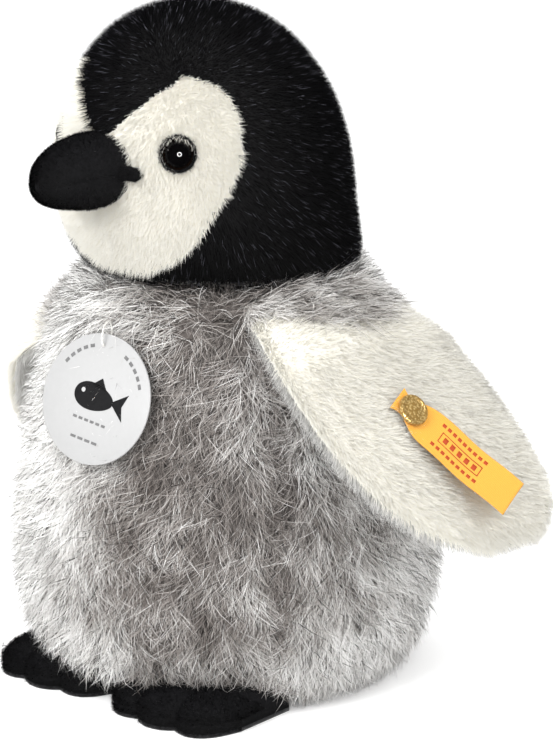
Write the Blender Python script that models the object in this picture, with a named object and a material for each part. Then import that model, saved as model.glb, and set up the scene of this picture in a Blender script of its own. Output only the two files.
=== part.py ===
"""A small standing plush penguin chick, as its sewn panels, fillings, eyes, beak, feet, wings and tags.

Metres, +Z up. The chick stands on the plane z = 0 and faces -Y; its left side is +X. The origin is
the centre of its flat base. Lengths below are in millimetres and become metres where meshes are made.
"""

import math

import bmesh
import bpy
import numpy as np
from mathutils import Matrix, Vector

MM = 0.001

# Fabric, seams and gaps
PLUSH = 3.0          # thickness of a fur panel, backing and pile together
SEAM_GAP = 0.3       # between two panels along their seam
FILL_GAP = 0.8       # between a panel and the filling behind it

# Body: a soft barrel on a flat base
BASE_RADIUS = 37.0
BELLY_RADIUS = 51.0
BELLY_HEIGHT = 28.0
NECK_RADIUS = 29.5
NECK_HEIGHT = 97.0
SHOULDER_POWER = 1.8
HEM_HEIGHT = 0.9
BASE_THICKNESS = 2.6
SIDE_SEAM_ANGLE = 55.0   # between the middle of the front and the seam under each wing

# Head: a dome on the neck, turned a little to the chick's right
HEAD_RADIUS = 35.2
HEAD_WIDEST = 115.0
HEAD_TOP = 160.0
HEAD_POWER = 2.15
HEAD_NECK_RADIUS = 31.0
HEAD_FORWARD = 6.5
HEAD_TURN = -5.0
HEAD_MIDDLE = np.array([0.0, -8.0, 122.0])
CHIN_HEIGHT = 98.9       # lowest point of the cheeks
CHEEK_TOP = 147.2
BROW_HEIGHT = 134.0      # where the black strip starts to part the cheeks

# Beak
BEAK_ROOT_HALF_WIDTH = 10.0
BEAK_HALF_HEIGHT = 8.2
BEAK_HEIGHT = 125.3
BEAK_TIP = -59.6
BEAK_SKIN = 1.6

# Eyes
EYE_ANGLE = -52.9
EYE_HEIGHT = 129.6
EYE_RADIUS = 3.7
SHANK_RADIUS = 1.0

# Wings
WING_LENGTH = 66.0
WING_HALF_WIDTH = 28.5
WING_HALF_THICKNESS = 4.6
WING_ROOT = np.array([31.5, 1.7, 89.6])
WING_DROOP = {"left": 46.5, "right": 54.0}
WING_SWEEP = {"left": -0.05, "right": 0.4}     # how far back each wing runs
WING_ROLL = {"left": -0.05, "right": 0.1}
SHOULDER_WRAP = 7.5    # how far the wing bows out round the shoulder
ROOT_LIFT = 3.2
WING_START = -4.5      # of the middle line, forward of the root, and how far back it trails
WING_TRAIL = 15.5
WING_SKIN = 2.3
HINGE_SHIFT = 2.5    # of the flapping axis, outward and up from the line through the root

# Feet
FOOT_MIDDLE = 20.0
RIGHT_FOOT_SHIFT = (2.3, 1.9)    # toward the left and back
FOOT_HALF_WIDTH = 17.5
FOOT_REAR = -21.5
FOOT_FRONT = -50.2
FOOT_HEIGHT = 8.4
SOLE = 1.3
FOOT_SKIN = 2.0
FOOT_FILL = 0.7       # the filling, as a share of the foot

# Tags
TAG_RADIUS = 14.9
TAG_THICKNESS = 0.6
TAG_HEIGHT = 72.7
TAG_LEAN = 17.0
TAG_TURN = 6.0
TAG_ANGLE = -88.3      # round the body, from its left side
RIBBON_LENGTH = 34.4
RIBBON_WIDTH = 10.6
BUTTON_RADIUS = 3.9
BUTTON_AT = (33.0, -8.0)   # along and across the left wing

BLACK_PLUSH = (0.012, 0.012, 0.014)
GREY_PLUSH = (0.36, 0.34, 0.32)
CREAM_PLUSH = (0.86, 0.82, 0.7)


# ---------------------------------------------------------------- scene and materials

def clear_scene():
    for obj in list(bpy.data.objects):
        bpy.data.objects.remove(obj, do_unlink=True)


def make_material(name, colour, roughness=0.9, metallic=0.0):
    material = bpy.data.materials.new(name)
    material.use_nodes = True
    shader = material.node_tree.nodes["Principled BSDF"]
    shader.inputs["Base Color"].default_value = (*colour, 1.0)
    shader.inputs["Roughness"].default_value = roughness
    shader.inputs["Metallic"].default_value = metallic
    material.diffuse_color = (*colour, 1.0)
    return material


def finish_mesh(name, mesh_data, material, parent=None):
    """Makes an object of a bmesh whose points are in millimetres, with its faces turned outward."""
    bmesh.ops.scale(mesh_data, vec=(MM, MM, MM), verts=mesh_data.verts)
    bmesh.ops.recalc_face_normals(mesh_data, faces=mesh_data.faces)
    if mesh_data.calc_volume(signed=True) < 0:
        bmesh.ops.reverse_faces(mesh_data, faces=mesh_data.faces)
    mesh = bpy.data.meshes.new(name)
    mesh_data.to_mesh(mesh)
    mesh_data.free()
    mesh.shade_smooth()
    mesh.set_sharp_from_angle(angle=math.radians(40))
    mesh.materials.append(material)
    obj = bpy.data.objects.new(name, mesh)
    bpy.context.collection.objects.link(obj)
    if parent is not None:
        obj.parent = parent
        obj.matrix_parent_inverse = parent.matrix_world.inverted()
    return obj


def make_pivot(name, point):
    """An empty on a joint's axis, which the pieces of a moving body hang from."""
    pivot = bpy.data.objects.new(name, None)
    pivot.location = Vector(point) * MM
    bpy.context.collection.objects.link(pivot)
    bpy.context.view_layer.update()
    return pivot


# ---------------------------------------------------------------- ways to make a solid

def border(grid):
    """The points on the edge of a grid, once round."""
    right = [row[-1] for row in grid[1:]]
    left = [row[0] for row in grid[-2:0:-1]]
    return grid[0] + right + grid[-1][-2::-1] + left


def panel(name, outer, inner, columns, rows, material, parent=None):
    """A curved slab between two surfaces, each a function of (u, v) from 0 to 1."""
    bm = bmesh.new()
    borders = []
    for surface in (outer, inner):
        grid = [[bm.verts.new(surface(i / columns, j / rows)) for i in range(columns + 1)]
                for j in range(rows + 1)]
        borders.append(border(grid))
        for j in range(rows):
            for i in range(columns):
                bm.faces.new((grid[j][i], grid[j][i + 1], grid[j + 1][i + 1], grid[j + 1][i]))
    first, second = borders
    for k in range(len(first)):
        after = (k + 1) % len(first)
        bm.faces.new((first[k], first[after], second[after], second[k]))
    return finish_mesh(name, bm, material, parent)


def stack(name, ring_point, around, levels, material, parent=None):
    """A solid of stacked rings with flat ends; ring_point takes (angle, level from 0 to 1)."""
    bm = bmesh.new()
    rings = [[bm.verts.new(ring_point(2 * math.pi * i / around, j / levels)) for i in range(around)]
             for j in range(levels + 1)]
    for low, high in zip(rings, rings[1:]):
        for i in range(around):
            after = (i + 1) % around
            bm.faces.new((low[i], low[after], high[after], high[i]))
    bm.faces.new(rings[0])
    bm.faces.new(rings[-1])
    return finish_mesh(name, bm, material, parent)


def frame_from(point, outward, upward=(0.0, 0.0, 1.0)):
    """A matrix that puts local +Z along outward and local +Y as near upward as it can, at point."""
    z = Vector(outward).normalized()
    x = Vector(upward).cross(z).normalized()
    y = z.cross(x)
    matrix = Matrix((x, y, z)).transposed().to_4x4()
    matrix.translation = Vector(point)
    return matrix


def turned(name, profile, matrix, around, material, parent=None):
    """A solid of revolution about local Z: profile is (radius, height) from its bottom to its top."""
    bm = bmesh.new()
    rings = []
    for radius, height in profile:
        if radius == 0.0:
            rings.append([bm.verts.new(matrix @ Vector((0.0, 0.0, height)))])
            continue
        rings.append([bm.verts.new(matrix @ Vector((radius * math.cos(a), radius * math.sin(a), height)))
                      for a in np.linspace(0.0, 2 * math.pi, around, endpoint=False)])
    for low, high in zip(rings, rings[1:]):
        for i in range(around):
            after = (i + 1) % around
            corners = [low[i % len(low)], low[after % len(low)], high[after % len(high)], high[i % len(high)]]
            bm.faces.new(list(dict.fromkeys(corners)))
    for ring in (rings[0], rings[-1]):
        if len(ring) > 1:
            bm.faces.new(ring)
    return finish_mesh(name, bm, material, parent)


def washer(name, hole, radius, low, high, matrix, around, material, parent=None):
    """A flat ring about local Z between two heights."""
    bm = bmesh.new()
    rings = []
    for size, height in ((hole, low), (radius, low), (radius, high), (hole, high)):
        rings.append([bm.verts.new(matrix @ Vector((size * math.cos(a), size * math.sin(a), height)))
                      for a in np.linspace(0.0, 2 * math.pi, around, endpoint=False)])
    for first, second in zip(rings, rings[1:] + rings[:1]):
        for i in range(around):
            after = (i + 1) % around
            bm.faces.new((first[i], first[after], second[after], second[i]))
    return finish_mesh(name, bm, material, parent)


def cut(obj, cutter):
    """Takes the solid cutter out of obj."""
    cutter.hide_render = True
    cutter.display_type = "WIRE"
    modifier = obj.modifiers.new("cut", "BOOLEAN")
    modifier.operation = "DIFFERENCE"
    modifier.solver = "EXACT"
    modifier.object = cutter


def box_cutter(name, low, high):
    bm = bmesh.new()
    bmesh.ops.create_cube(bm, size=1.0)
    low, high = Vector(low), Vector(high)
    for vertex in bm.verts:
        vertex.co = Vector((a + (b - a) * (c + 0.5) for a, b, c in zip(low, high, vertex.co)))
    return finish_mesh(name, bm, CUTTER)


def rod_cutter(name, radius, low, high, matrix, around=16):
    return turned(name, [(radius, low), (radius, high)], matrix, around, CUTTER)


# ---------------------------------------------------------------- the body

def body_radius(z):
    if z >= BELLY_HEIGHT:
        rise = (z - BELLY_HEIGHT) / (NECK_HEIGHT - BELLY_HEIGHT)
        full = max(0.0, 1.0 - rise ** SHOULDER_POWER) ** (1.0 / SHOULDER_POWER)
        return NECK_RADIUS + (BELLY_RADIUS - NECK_RADIUS) * full
    drop = (BELLY_HEIGHT - z) / BELLY_HEIGHT
    return BASE_RADIUS + (BELLY_RADIUS - BASE_RADIUS) * math.sqrt(max(0.0, 1.0 - drop * drop))


def body_point(angle, z, inset=0.0):
    radius = body_radius(z) - inset
    return Vector((radius * math.cos(angle), radius * math.sin(angle), z))


def body_panel(name, first, last):
    """One fur panel between two angles in degrees, from the hem to the neck."""
    top = NECK_HEIGHT - 0.9

    def surface(inset):
        def point(u, v):
            z = HEM_HEIGHT + (top - HEM_HEIGHT) * v
            shrink = math.degrees(0.5 * SEAM_GAP / body_radius(z))
            angle = first + shrink + (last - first - 2 * shrink) * u
            return body_point(math.radians(angle), z, inset)
        return point

    columns = max(6, round(abs(last - first) / 9.0))
    return panel(name, surface(0.0), surface(PLUSH), columns, 11, GREY)


def feet_bay():
    half = FOOT_MIDDLE + FOOT_HALF_WIDTH + 1.0
    return box_cutter("feet_bay", (-half, -70.0, -2.0), (half, FOOT_REAR + 0.6, FOOT_HEIGHT + 0.7))


def make_body():
    side = SIDE_SEAM_ANGLE
    fronts = [body_panel("body_front_left", -90.0, -90.0 + side),
              body_panel("body_front_right", -90.0 - side, -90.0)]
    backs = [body_panel("body_back_left", -90.0 + side, 90.0),
             body_panel("body_back_right", 90.0, 270.0 - side)]
    for fur in fronts + backs:
        cut(fur, feet_bay())

    profile = [(BASE_RADIUS, 0.0), (BASE_RADIUS, BASE_THICKNESS)]
    base = turned("body_base", profile, Matrix.Identity(4), 32, FELT)
    cut(base, feet_bay())

    floor, ceiling = 3.2, NECK_HEIGHT - 1.6

    def filling_point(angle, v):
        z = floor + (ceiling - floor) * v
        inset = PLUSH + FILL_GAP + 1.6 * max(0.0, 1.0 - v * 8.0)
        return body_point(angle, z, inset)

    filling = stack("body_stuffing", filling_point, 28, 10, FIBRE)
    cut(filling, feet_bay())
    at_base = Matrix.Translation((0.0, 6.0, 0.0))
    cut(filling, rod_cutter("bag_pocket", 22.0, 1.0, 14.6, at_base, 24))
    turned("weight_bag", [(16.0, 3.5), (20.0, 5.0), (21.2, 8.5), (19.0, 12.5), (13.0, 14.0)],
           at_base, 20, BAG)

    bm = bmesh.new()
    ring = [bm.verts.new((28.0 + 0.35 * math.cos(a), 0.0, NECK_HEIGHT - 0.1 + 0.35 * math.sin(a)))
            for a in np.linspace(0.0, 2 * math.pi, 6, endpoint=False)]
    edges = [bm.edges.new((ring[i], ring[(i + 1) % 6])) for i in range(6)]
    bmesh.ops.spin(bm, geom=ring + edges, cent=(0.0, 0.0, 0.0), axis=(0.0, 0.0, 1.0),
                   angle=2 * math.pi, steps=28, use_merge=True)
    finish_mesh("neck_thread", bm, THREAD)


# ---------------------------------------------------------------- the head

HEAD_SPIN = Matrix.Rotation(math.radians(HEAD_TURN), 4, "Z")


def head_circle(z):
    """Radius and forward shift of the head's round section at a height."""
    if z >= HEAD_WIDEST:
        rise = min(1.0, (z - HEAD_WIDEST) / (HEAD_TOP - HEAD_WIDEST))
        radius = HEAD_RADIUS * (1.0 - rise ** HEAD_POWER) ** (1.0 / HEAD_POWER)
        return radius, -HEAD_FORWARD - 3.0 * rise
    drop = min(1.0, (HEAD_WIDEST - z) / (HEAD_WIDEST - NECK_HEIGHT))
    radius = HEAD_NECK_RADIUS + (HEAD_RADIUS - HEAD_NECK_RADIUS) * math.sqrt(1.0 - drop * drop)
    return radius, -HEAD_FORWARD + (HEAD_FORWARD - 0.5) * drop ** 1.5


def pull_in(point, inset):
    """Moves a point of the head's surface toward the head's middle."""
    point = np.array(point)
    away = point - HEAD_MIDDLE
    return point - inset * away / np.linalg.norm(away)


def head_point(angle, z, inset=0.0):
    radius, forward = head_circle(z)
    point = (radius * math.cos(angle), forward + radius * math.sin(angle), z)
    return HEAD_SPIN @ Vector(pull_in(point, inset))


def gusset_half_width(angle):
    """Half width of the black strip over the head, at an angle up from the beak, in degrees."""
    opening = min(1.0, max(0.0, (angle - 19.0) / 27.0))
    closing = min(1.0, max(0.0, (angle - 110.0) / 100.0))
    return 2.6 + 13.4 * opening ** 0.8 - 7.0 * closing


def gusset_edge(z, side):
    """Angle round the head, in radians, of the strip's left edge at a height; side -1 front, 1 back."""
    radius, forward = head_circle(z)
    half = 10.0
    for _ in range(30):
        across = math.sqrt(max(0.0, radius * radius - half * half))
        y = forward + side * across
        angle = math.degrees(math.atan2(z - HEAD_MIDDLE[2], HEAD_MIDDLE[1] - y)) % 360.0
        half = 0.5 * (half + min(gusset_half_width(angle), 0.999 * radius))
    return side * math.acos(half / radius)


# Angle round the head of the cheek's rear outline (degrees from the side, toward the back), by height
CHEEK_HEIGHTS = (CHIN_HEIGHT, 102.0, 105.0, 110.0, 115.0, 120.0, 125.0, 130.0, 137.0, 142.0, 145.0,
                 CHEEK_TOP)
CHEEK_ANGLES = (-78.0, -63.5, -54.0, -46.0, -40.0, -34.0, -29.6, -27.4, -26.8, -28.5, -34.0, -48.0)


def cheek_rear(z):
    return math.radians(float(np.interp(z, CHEEK_HEIGHTS, CHEEK_ANGLES)))


def cheek_front(z):
    """The middle line below the brow, and the strip's edge above it."""
    if z < BROW_HEIGHT:
        return math.radians(-90.0)
    return max(math.radians(-90.0), gusset_edge(z, -1))


HEAD_ROWS = (97.8, CHIN_HEIGHT, 100.4, 102.0, 103.5, 105.0, 107.5, 110.0, 115.0, 120.0, 125.0, 130.0, 133.6, 134.4,
             137.0, 140.0, 142.0, 143.6, 145.0, 146.2, CHEEK_TOP, 149.5, 152.0, 154.0, 155.3)


def row_height(rows, v):
    place = v * (len(rows) - 1)
    return float(np.interp(place, range(len(rows)), rows))


def mirrored(surface, sign):
    """The same surface on the chick's left (sign 1) or right (sign -1), before the head is turned."""
    def point(u, v):
        place = HEAD_SPIN.inverted() @ surface(u, v)
        place.x *= sign
        return HEAD_SPIN @ place
    return point


def span_on_head(rows, first, last, gaps, inset):
    def point(u, v):
        z = row_height(rows, v)
        radius = head_circle(z)[0]
        low, high = first(z) + gaps[0] / radius, last(z) - gaps[1] / radius
        return head_point(low + (high - low) * u, z, inset)
    return point


def side_front(z):
    if z <= 98.0:
        return math.radians(-90.0)
    if z <= CHEEK_TOP:
        return cheek_rear(z)
    return gusset_edge(z, -1)


def side_back(z):
    return gusset_edge(z, 1)


def gusset_surface(inset):
    front, back = 22.2, 211.0

    def point(u, v):
        angle = front + (back - front) * v
        half = gusset_half_width(angle)
        x = half * (2.0 * u - 1.0)
        direction = np.array([0.0, -math.cos(math.radians(angle)), math.sin(math.radians(angle))])
        low, high = 0.0, 70.0
        for _ in range(40):
            reach = 0.5 * (low + high)
            place = HEAD_MIDDLE + reach * direction + np.array([x, 0.0, 0.0])
            radius, forward = head_circle(place[2])
            inside = place[2] < HEAD_TOP and math.hypot(x, place[1] - forward) < radius
            low, high = (reach, high) if inside else (low, reach)
        return HEAD_SPIN @ Vector(pull_in(place, inset))
    return point


def make_head(pivot):
    cheek_rows = [z for z in HEAD_ROWS if CHIN_HEIGHT <= z <= CHEEK_TOP]
    edge_gap = 0.9
    for side, sign in (("left", 1.0), ("right", -1.0)):
        gaps = (edge_gap * 0.5, SEAM_GAP * 0.5)
        face = panel(f"face_{side}",
                     mirrored(span_on_head(cheek_rows, cheek_front, cheek_rear, gaps, 0.0), sign),
                     mirrored(span_on_head(cheek_rows, cheek_front, cheek_rear, gaps, PLUSH), sign),
                     7, len(cheek_rows) - 1, CREAM, pivot)
        cut(face, rod_cutter(f"eye_hole_{side}", SHANK_RADIUS + 0.3, -9.0, 3.0, eye_frame(sign)))
        gaps = (SEAM_GAP * 0.5, edge_gap)
        panel(f"head_{side}",
              mirrored(span_on_head(HEAD_ROWS, side_front, side_back, gaps, 0.0), sign),
              mirrored(span_on_head(HEAD_ROWS, side_front, side_back, gaps, PLUSH), sign),
              8, len(HEAD_ROWS) - 1, BLACK, pivot)
    panel("head_gusset", gusset_surface(0.0), gusset_surface(PLUSH), 6, 24, BLACK, pivot)

    def filling_point(angle, v):
        z = 98.6 + (158.9 - 98.6) * math.sin(0.5 * math.pi * v)
        return head_point(angle, z, PLUSH + FILL_GAP)

    filling = stack("head_stuffing", filling_point, 24, 9, FIBRE, pivot)
    for side, sign in (("left", 1.0), ("right", -1.0)):
        cut(filling, rod_cutter(f"eye_pocket_{side}", 4.2, -9.5, -2.0, eye_frame(sign), 16))


# ---------------------------------------------------------------- eyes, beak and mouth

def eye_frame(sign):
    angle = math.radians(EYE_ANGLE)
    point = HEAD_SPIN.inverted() @ head_point(angle, EYE_HEIGHT)
    outward = Vector(point) - Vector((0.0, -7.0, 122.0))
    point.x *= sign
    outward.x *= sign
    return frame_from(HEAD_SPIN @ point, HEAD_SPIN @ outward)


def make_eyes(pivot):
    for side, sign in (("left", 1.0), ("right", -1.0)):
        dome = [(EYE_RADIUS * math.cos(a), 0.9 + 2.3 * math.sin(a)) for a in np.linspace(0.0, 1.35, 5)]
        profile = [(SHANK_RADIUS, -6.4), (SHANK_RADIUS, 0.35), (EYE_RADIUS, 0.35)] + dome + [(0.0, 3.2)]
        turned(f"eye_{side}", profile, eye_frame(sign), 20, EYE, pivot)
        washer(f"eye_washer_{side}", SHANK_RADIUS + 0.15, 3.6, -5.0, -4.2, eye_frame(sign), 20, WASHER,
               pivot)


def beak_surface(first, last, inset):
    """Part of the beak between two angles round its long axis: 0 is the chick's left, 90 the top."""
    def point(u, v):
        reach = 0.97 * math.sin(0.5 * math.pi * v)
        angle = math.radians(first + (last - first) * u)
        swell = math.sqrt(1.0 - reach * reach)
        across = (BEAK_ROOT_HALF_WIDTH - inset) * (0.22 * (1.0 - reach) + 0.78 * swell)
        tall = (BEAK_HALF_HEIGHT - inset) * (0.1 * (1.0 - reach) + 0.9 * swell)
        x = across * math.copysign(abs(math.cos(angle)) ** 0.85, math.cos(angle))
        z = BEAK_HEIGHT + tall * math.copysign(abs(math.sin(angle)) ** 0.85, math.sin(angle))
        radius, forward = head_circle(z)
        root = forward - math.sqrt(radius * radius - x * x) - 0.5
        y = root + (BEAK_TIP + inset - root) * reach
        return HEAD_SPIN @ Vector((x, y, z))
    return point


def make_beak(pivot):
    gap = 1.2
    for name, first, last in (("beak_upper", gap, 180.0 - gap), ("beak_lower", 180.0 + gap, 360.0 - gap)):
        panel(name, beak_surface(first, last, 0.0), beak_surface(first, last, BEAK_SKIN), 12, 8, VELOUR, pivot)

    def filling_point(angle, v):
        return beak_surface(0.0, 360.0, BEAK_SKIN + 0.7)(angle / (2 * math.pi), 0.12 + 0.78 * v)

    stack("beak_stuffing", filling_point, 20, 5, FIBRE, pivot)
    for side, sign in (("left", 1.0), ("right", -1.0)):
        def stitch(lift):
            def point(u, v):
                angle = math.radians(-71.0 + 4.6 * u)
                z = BEAK_HEIGHT - 0.2 - 0.8 * u + (1.7 - 1.35 * u) * (2.0 * v - 1.0)
                radius, forward = head_circle(z)
                out = radius + lift
                return HEAD_SPIN @ Vector((out * math.cos(angle), forward + out * math.sin(angle), z))
            return mirrored(point, sign)
        panel(f"mouth_stitch_{side}", stitch(0.95), stitch(0.3), 3, 2, VELOUR, pivot)


# ---------------------------------------------------------------- the wings

def wing_half_width(s):
    """Half the wing's width at a distance from the shoulder."""
    swell = 3.0 * math.sin(math.pi * min(1.0, s / (WING_LENGTH - 2.0)))
    return (WING_HALF_WIDTH + swell) * math.sqrt(max(0.0, 1.0 - (s / (WING_LENGTH + 0.6)) ** 7))


def wing_middle(s):
    """How far back of the root's middle the wing's middle line runs."""
    return WING_START + WING_TRAIL * (s / WING_LENGTH) ** 1.6


class Wing:
    """Axes and surfaces of one wing: s runs from shoulder to tip, t across it toward the back."""

    def __init__(self, side):
        self.side = side
        self.sign = 1.0 if side == "left" else -1.0
        droop = math.radians(WING_DROOP[side])
        self.along = Vector((self.sign * math.cos(droop), WING_SWEEP[side], -math.sin(droop))).normalized()
        across = Vector((0.0, 1.0, WING_ROLL[side]))
        self.across = (across - across.dot(self.along) * self.along).normalized()
        self.outward = self.along.cross(self.across) * self.sign
        self.outward *= 1.0 if self.outward.z > 0 else -1.0
        self.root = Vector((self.sign * WING_ROOT[0], WING_ROOT[1], WING_ROOT[2]))

    def at(self, s, t, lift):
        """A point at (s, t) of the wing, lifted off its mid-surface, which wraps the shoulder."""
        share = (t - wing_middle(s)) / max(1.0, wing_half_width(s))
        near = 1.0 - s / WING_LENGTH
        wrap = SHOULDER_WRAP * (1.0 - share * share) * near ** 1.4 + ROOT_LIFT * near
        return self.root + s * self.along + t * self.across + (wrap + lift) * self.outward

    def hinge(self):
        return self.root + HINGE_SHIFT * self.outward

    def plump(self, s, share):
        """How full the wing is, from 0 at its edge to 1 in the middle."""
        ends = min(1.0, (s / 26.0)) ** 0.7 * (1.0 - (s / (WING_LENGTH + 0.6)) ** 5)
        return max(0.0, (1.0 - abs(share) ** 2.6) * ends)

    def surface(self, face, depth, shrink=1.0, first=3.0, last=WING_LENGTH - 0.8):
        """One surface of the wing: face 1 outside, -1 inside; depth is how far under its skin."""
        def point(u, v):
            s = first + (last - first) * math.sin(0.5 * math.pi * v) ** 0.85
            share = (2.0 * u - 1.0) * shrink
            t = wing_middle(s) + share * wing_half_width(s)
            full = 0.95 + (WING_HALF_THICKNESS - 0.95) * self.plump(s, share)
            lift = full if depth == 0.0 else max(0.15, full - depth)
            return self.at(s, t, face * lift)
        return point


def make_wing(side, pivot):
    wing = Wing(side)
    outer = panel(f"wing_outer_{side}", wing.surface(1, 0.0), wing.surface(1, WING_SKIN), 10, 9, CREAM, pivot)
    panel(f"wing_inner_{side}", wing.surface(-1, 0.0), wing.surface(-1, WING_SKIN), 10, 9, LINING, pivot)
    depth, shrink, first, last = WING_SKIN + 0.45, 0.52, 16.0, 50.0
    fill = panel(f"wing_stuffing_{side}", wing.surface(1, depth, shrink, first, last),
                 wing.surface(-1, depth, shrink, first, last), 8, 7, FIBRE, pivot)
    return wing, outer, fill


# ---------------------------------------------------------------- the feet

def toe_line(x):
    """How far forward the foot reaches at x from its middle: three round toes."""
    share = x / FOOT_HALF_WIDTH
    notch = 1.0 - abs(math.cos(1.5 * math.pi * share)) ** 0.7
    corner = 6.0 * abs(share) ** 10
    return FOOT_FRONT + 3.6 * share * share + 2.3 * notch + corner


def foot_top(x, reach):
    """Height of the foot's top: reach runs from 0 at its rear to 1 at the toes."""
    share = x / FOOT_HALF_WIDTH
    dome = (1.0 - abs(share) ** 4) ** 0.5 * (1.0 - reach ** 5) ** 0.5
    crease = sum(math.exp(-((x - side * FOOT_HALF_WIDTH / 3.0) / 1.5) ** 2) for side in (-1.0, 1.0))
    return SOLE + 1.6 + (FOOT_HEIGHT - SOLE - 1.6) * dome - 1.4 * crease * reach ** 3 * dome


def make_foot(side):
    sign = 1.0 if side == "left" else -1.0
    inward, backward = (0.0, 0.0) if side == "left" else RIGHT_FOOT_SHIFT

    def place(height, shrink=1.0):
        def point(u, v):
            x = FOOT_HALF_WIDTH * (2.0 * u - 1.0) * shrink
            reach = 0.5 + (v - 0.5) * shrink
            y = FOOT_REAR + (toe_line(x) + backward - FOOT_REAR) * reach
            return Vector((sign * (FOOT_MIDDLE + x) + inward, y, height(x, reach)))
        return point

    def level(height):
        return lambda x, reach: height

    def under(x, reach):
        return max(SOLE + SEAM_GAP, foot_top(x, reach) - FOOT_SKIN)

    def filling_top(x, reach):
        return under(x, reach) - FILL_GAP - 0.1

    panel(f"foot_sole_{side}", place(level(SOLE)), place(level(0.0)), 18, 3, SOLE_FELT)
    panel(f"foot_top_{side}", place(foot_top), place(under), 18, 5, VELOUR)
    panel(f"foot_stuffing_{side}", place(filling_top, FOOT_FILL), place(level(SOLE + SEAM_GAP), FOOT_FILL),
          8, 4, FIBRE)


# ---------------------------------------------------------------- tags and button

def make_chest_tag():
    angle = math.radians(-90.0 + TAG_TURN)
    lean = math.radians(TAG_LEAN)
    outward = Vector((math.cos(angle) * math.cos(lean), math.sin(angle) * math.cos(lean), math.sin(lean)))
    touch = body_point(math.radians(TAG_ANGLE), TAG_HEIGHT)
    frame = frame_from(touch + 1.3 * outward, outward)
    hang = 2.9
    top = frame @ Vector((0.0, TAG_RADIUS, 0.3))
    pivot = make_pivot("chest_tag_pivot", top)
    tag = turned("chest_tag", [(TAG_RADIUS, 0.0), (TAG_RADIUS, TAG_THICKNESS)], frame, 48, CARD, pivot)
    hole = frame @ Matrix.Translation((0.0, TAG_RADIUS - hang, 0.0))
    cut(tag, rod_cutter("tag_hole", 1.5, -2.0, 3.0, hole, 12))
    bm = bmesh.new()
    steps, thick = 18, 0.3
    for i in range(steps):
        a = 2 * math.pi * i / steps
        heart = Vector((0.0, TAG_RADIUS + hang * math.cos(a) * 0.98, 0.3 + 1.75 * math.sin(a)))
        away = Vector((0.0, math.cos(a), math.sin(a)))
        for j in range(6):
            b = 2 * math.pi * j / 6
            bm.verts.new(frame @ (heart + thick * (math.cos(b) * away + Vector((math.sin(b), 0.0, 0.0)))))
    bm.verts.ensure_lookup_table()
    for i in range(steps):
        for j in range(6):
            k, m = (i + 1) % steps, (j + 1) % 6
            bm.faces.new([bm.verts[a * 6 + b] for a, b in ((i, j), (i, m), (k, m), (k, j))])
    finish_mesh("tag_loop", bm, THREAD)


def make_label(wing, outer, fill, pivot):
    """The folded ribbon under a brass button on the left wing, and what clinches it inside."""
    s, t = BUTTON_AT
    lift = WING_HALF_THICKNESS * wing.plump(s, (t - wing_middle(s)) / wing_half_width(s)) + 0.6
    point = wing.at(s, t, lift)
    tipward = (0.89 * wing.along + 0.455 * wing.across).normalized()
    surface_out = (wing.outward + 0.16 * wing.along - 0.2 * wing.across).normalized()
    frame = frame_from(point, surface_out, tipward)

    fold_end = 4.6

    def ribbon(first, last, height):
        def place(u, v):
            y = first + (last - first) * v
            rise = 0.5 + height + 0.016 * max(0.0, y) ** 1.5
            return frame @ Vector((RIBBON_WIDTH * (u - 0.5), y, rise))
        return place

    ribbon_pivot = make_pivot("ribbon_pivot", frame @ Vector((0.0, fold_end, 0.9)))
    start, end = -4.4, RIBBON_LENGTH - 4.4
    fold = panel("label_fold", ribbon(start, fold_end - 0.15, 0.5), ribbon(start, fold_end - 0.15, 0.0),
                 4, 3, RIBBON, pivot)
    panel("label_ribbon", ribbon(fold_end + 0.15, end, 0.5), ribbon(fold_end + 0.15, end, 0.0),
          4, 6, RIBBON, ribbon_pivot)
    cut(fold, rod_cutter("ribbon_hole", 1.1, -3.0, 5.0, frame, 12))
    cut(outer, rod_cutter("wing_hole", 1.1, -9.0, 5.0, frame, 12))
    cut(fill, rod_cutter("clinch_pocket", 3.4, -9.0, 5.0, frame, 16))
    rim = [(0.8, -4.2), (0.8, 1.4), (BUTTON_RADIUS, 1.4), (BUTTON_RADIUS, 2.5), (BUTTON_RADIUS - 0.7, 2.6),
           (BUTTON_RADIUS - 1.1, 2.2), (0.0, 2.6)]
    turned("label_button", rim, frame, 20, BRASS, pivot)
    washer("button_clinch", 0.95, 2.3, -4.0, -3.5, frame, 12, BRASS_BACK, pivot)


# ---------------------------------------------------------------- the whole chick

clear_scene()
CUTTER = make_material("cutter", (0.8, 0.1, 0.1))
GREY = make_material("grey_plush", GREY_PLUSH, 0.95)
BLACK = make_material("black_plush", BLACK_PLUSH, 0.95)
CREAM = make_material("cream_plush", CREAM_PLUSH, 0.95)
LINING = make_material("wing_lining", (0.55, 0.53, 0.5), 0.95)
VELOUR = make_material("black_velour", (0.014, 0.014, 0.016), 0.9)
FELT = make_material("base_felt", (0.3, 0.29, 0.28), 0.95)
SOLE_FELT = make_material("sole_felt", (0.02, 0.02, 0.022), 0.95)
FIBRE = make_material("polyester_fill", (0.9, 0.9, 0.88), 1.0)
BAG = make_material("weight_bag_cloth", (0.8, 0.8, 0.76), 0.9)
THREAD = make_material("thread", (0.75, 0.74, 0.72), 0.8)
EYE = make_material("eye_gloss", (0.02, 0.008, 0.004), 0.08)
WASHER = make_material("washer_plastic", (0.7, 0.7, 0.7), 0.5)
CARD = make_material("tag_card", (0.93, 0.93, 0.93), 0.6)
RIBBON = make_material("yellow_ribbon", (0.95, 0.62, 0.06), 0.6)
BRASS = make_material("brass", (0.82, 0.6, 0.22), 0.3, 1.0)
BRASS_BACK = make_material("brass_back", (0.7, 0.55, 0.25), 0.4, 1.0)

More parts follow.
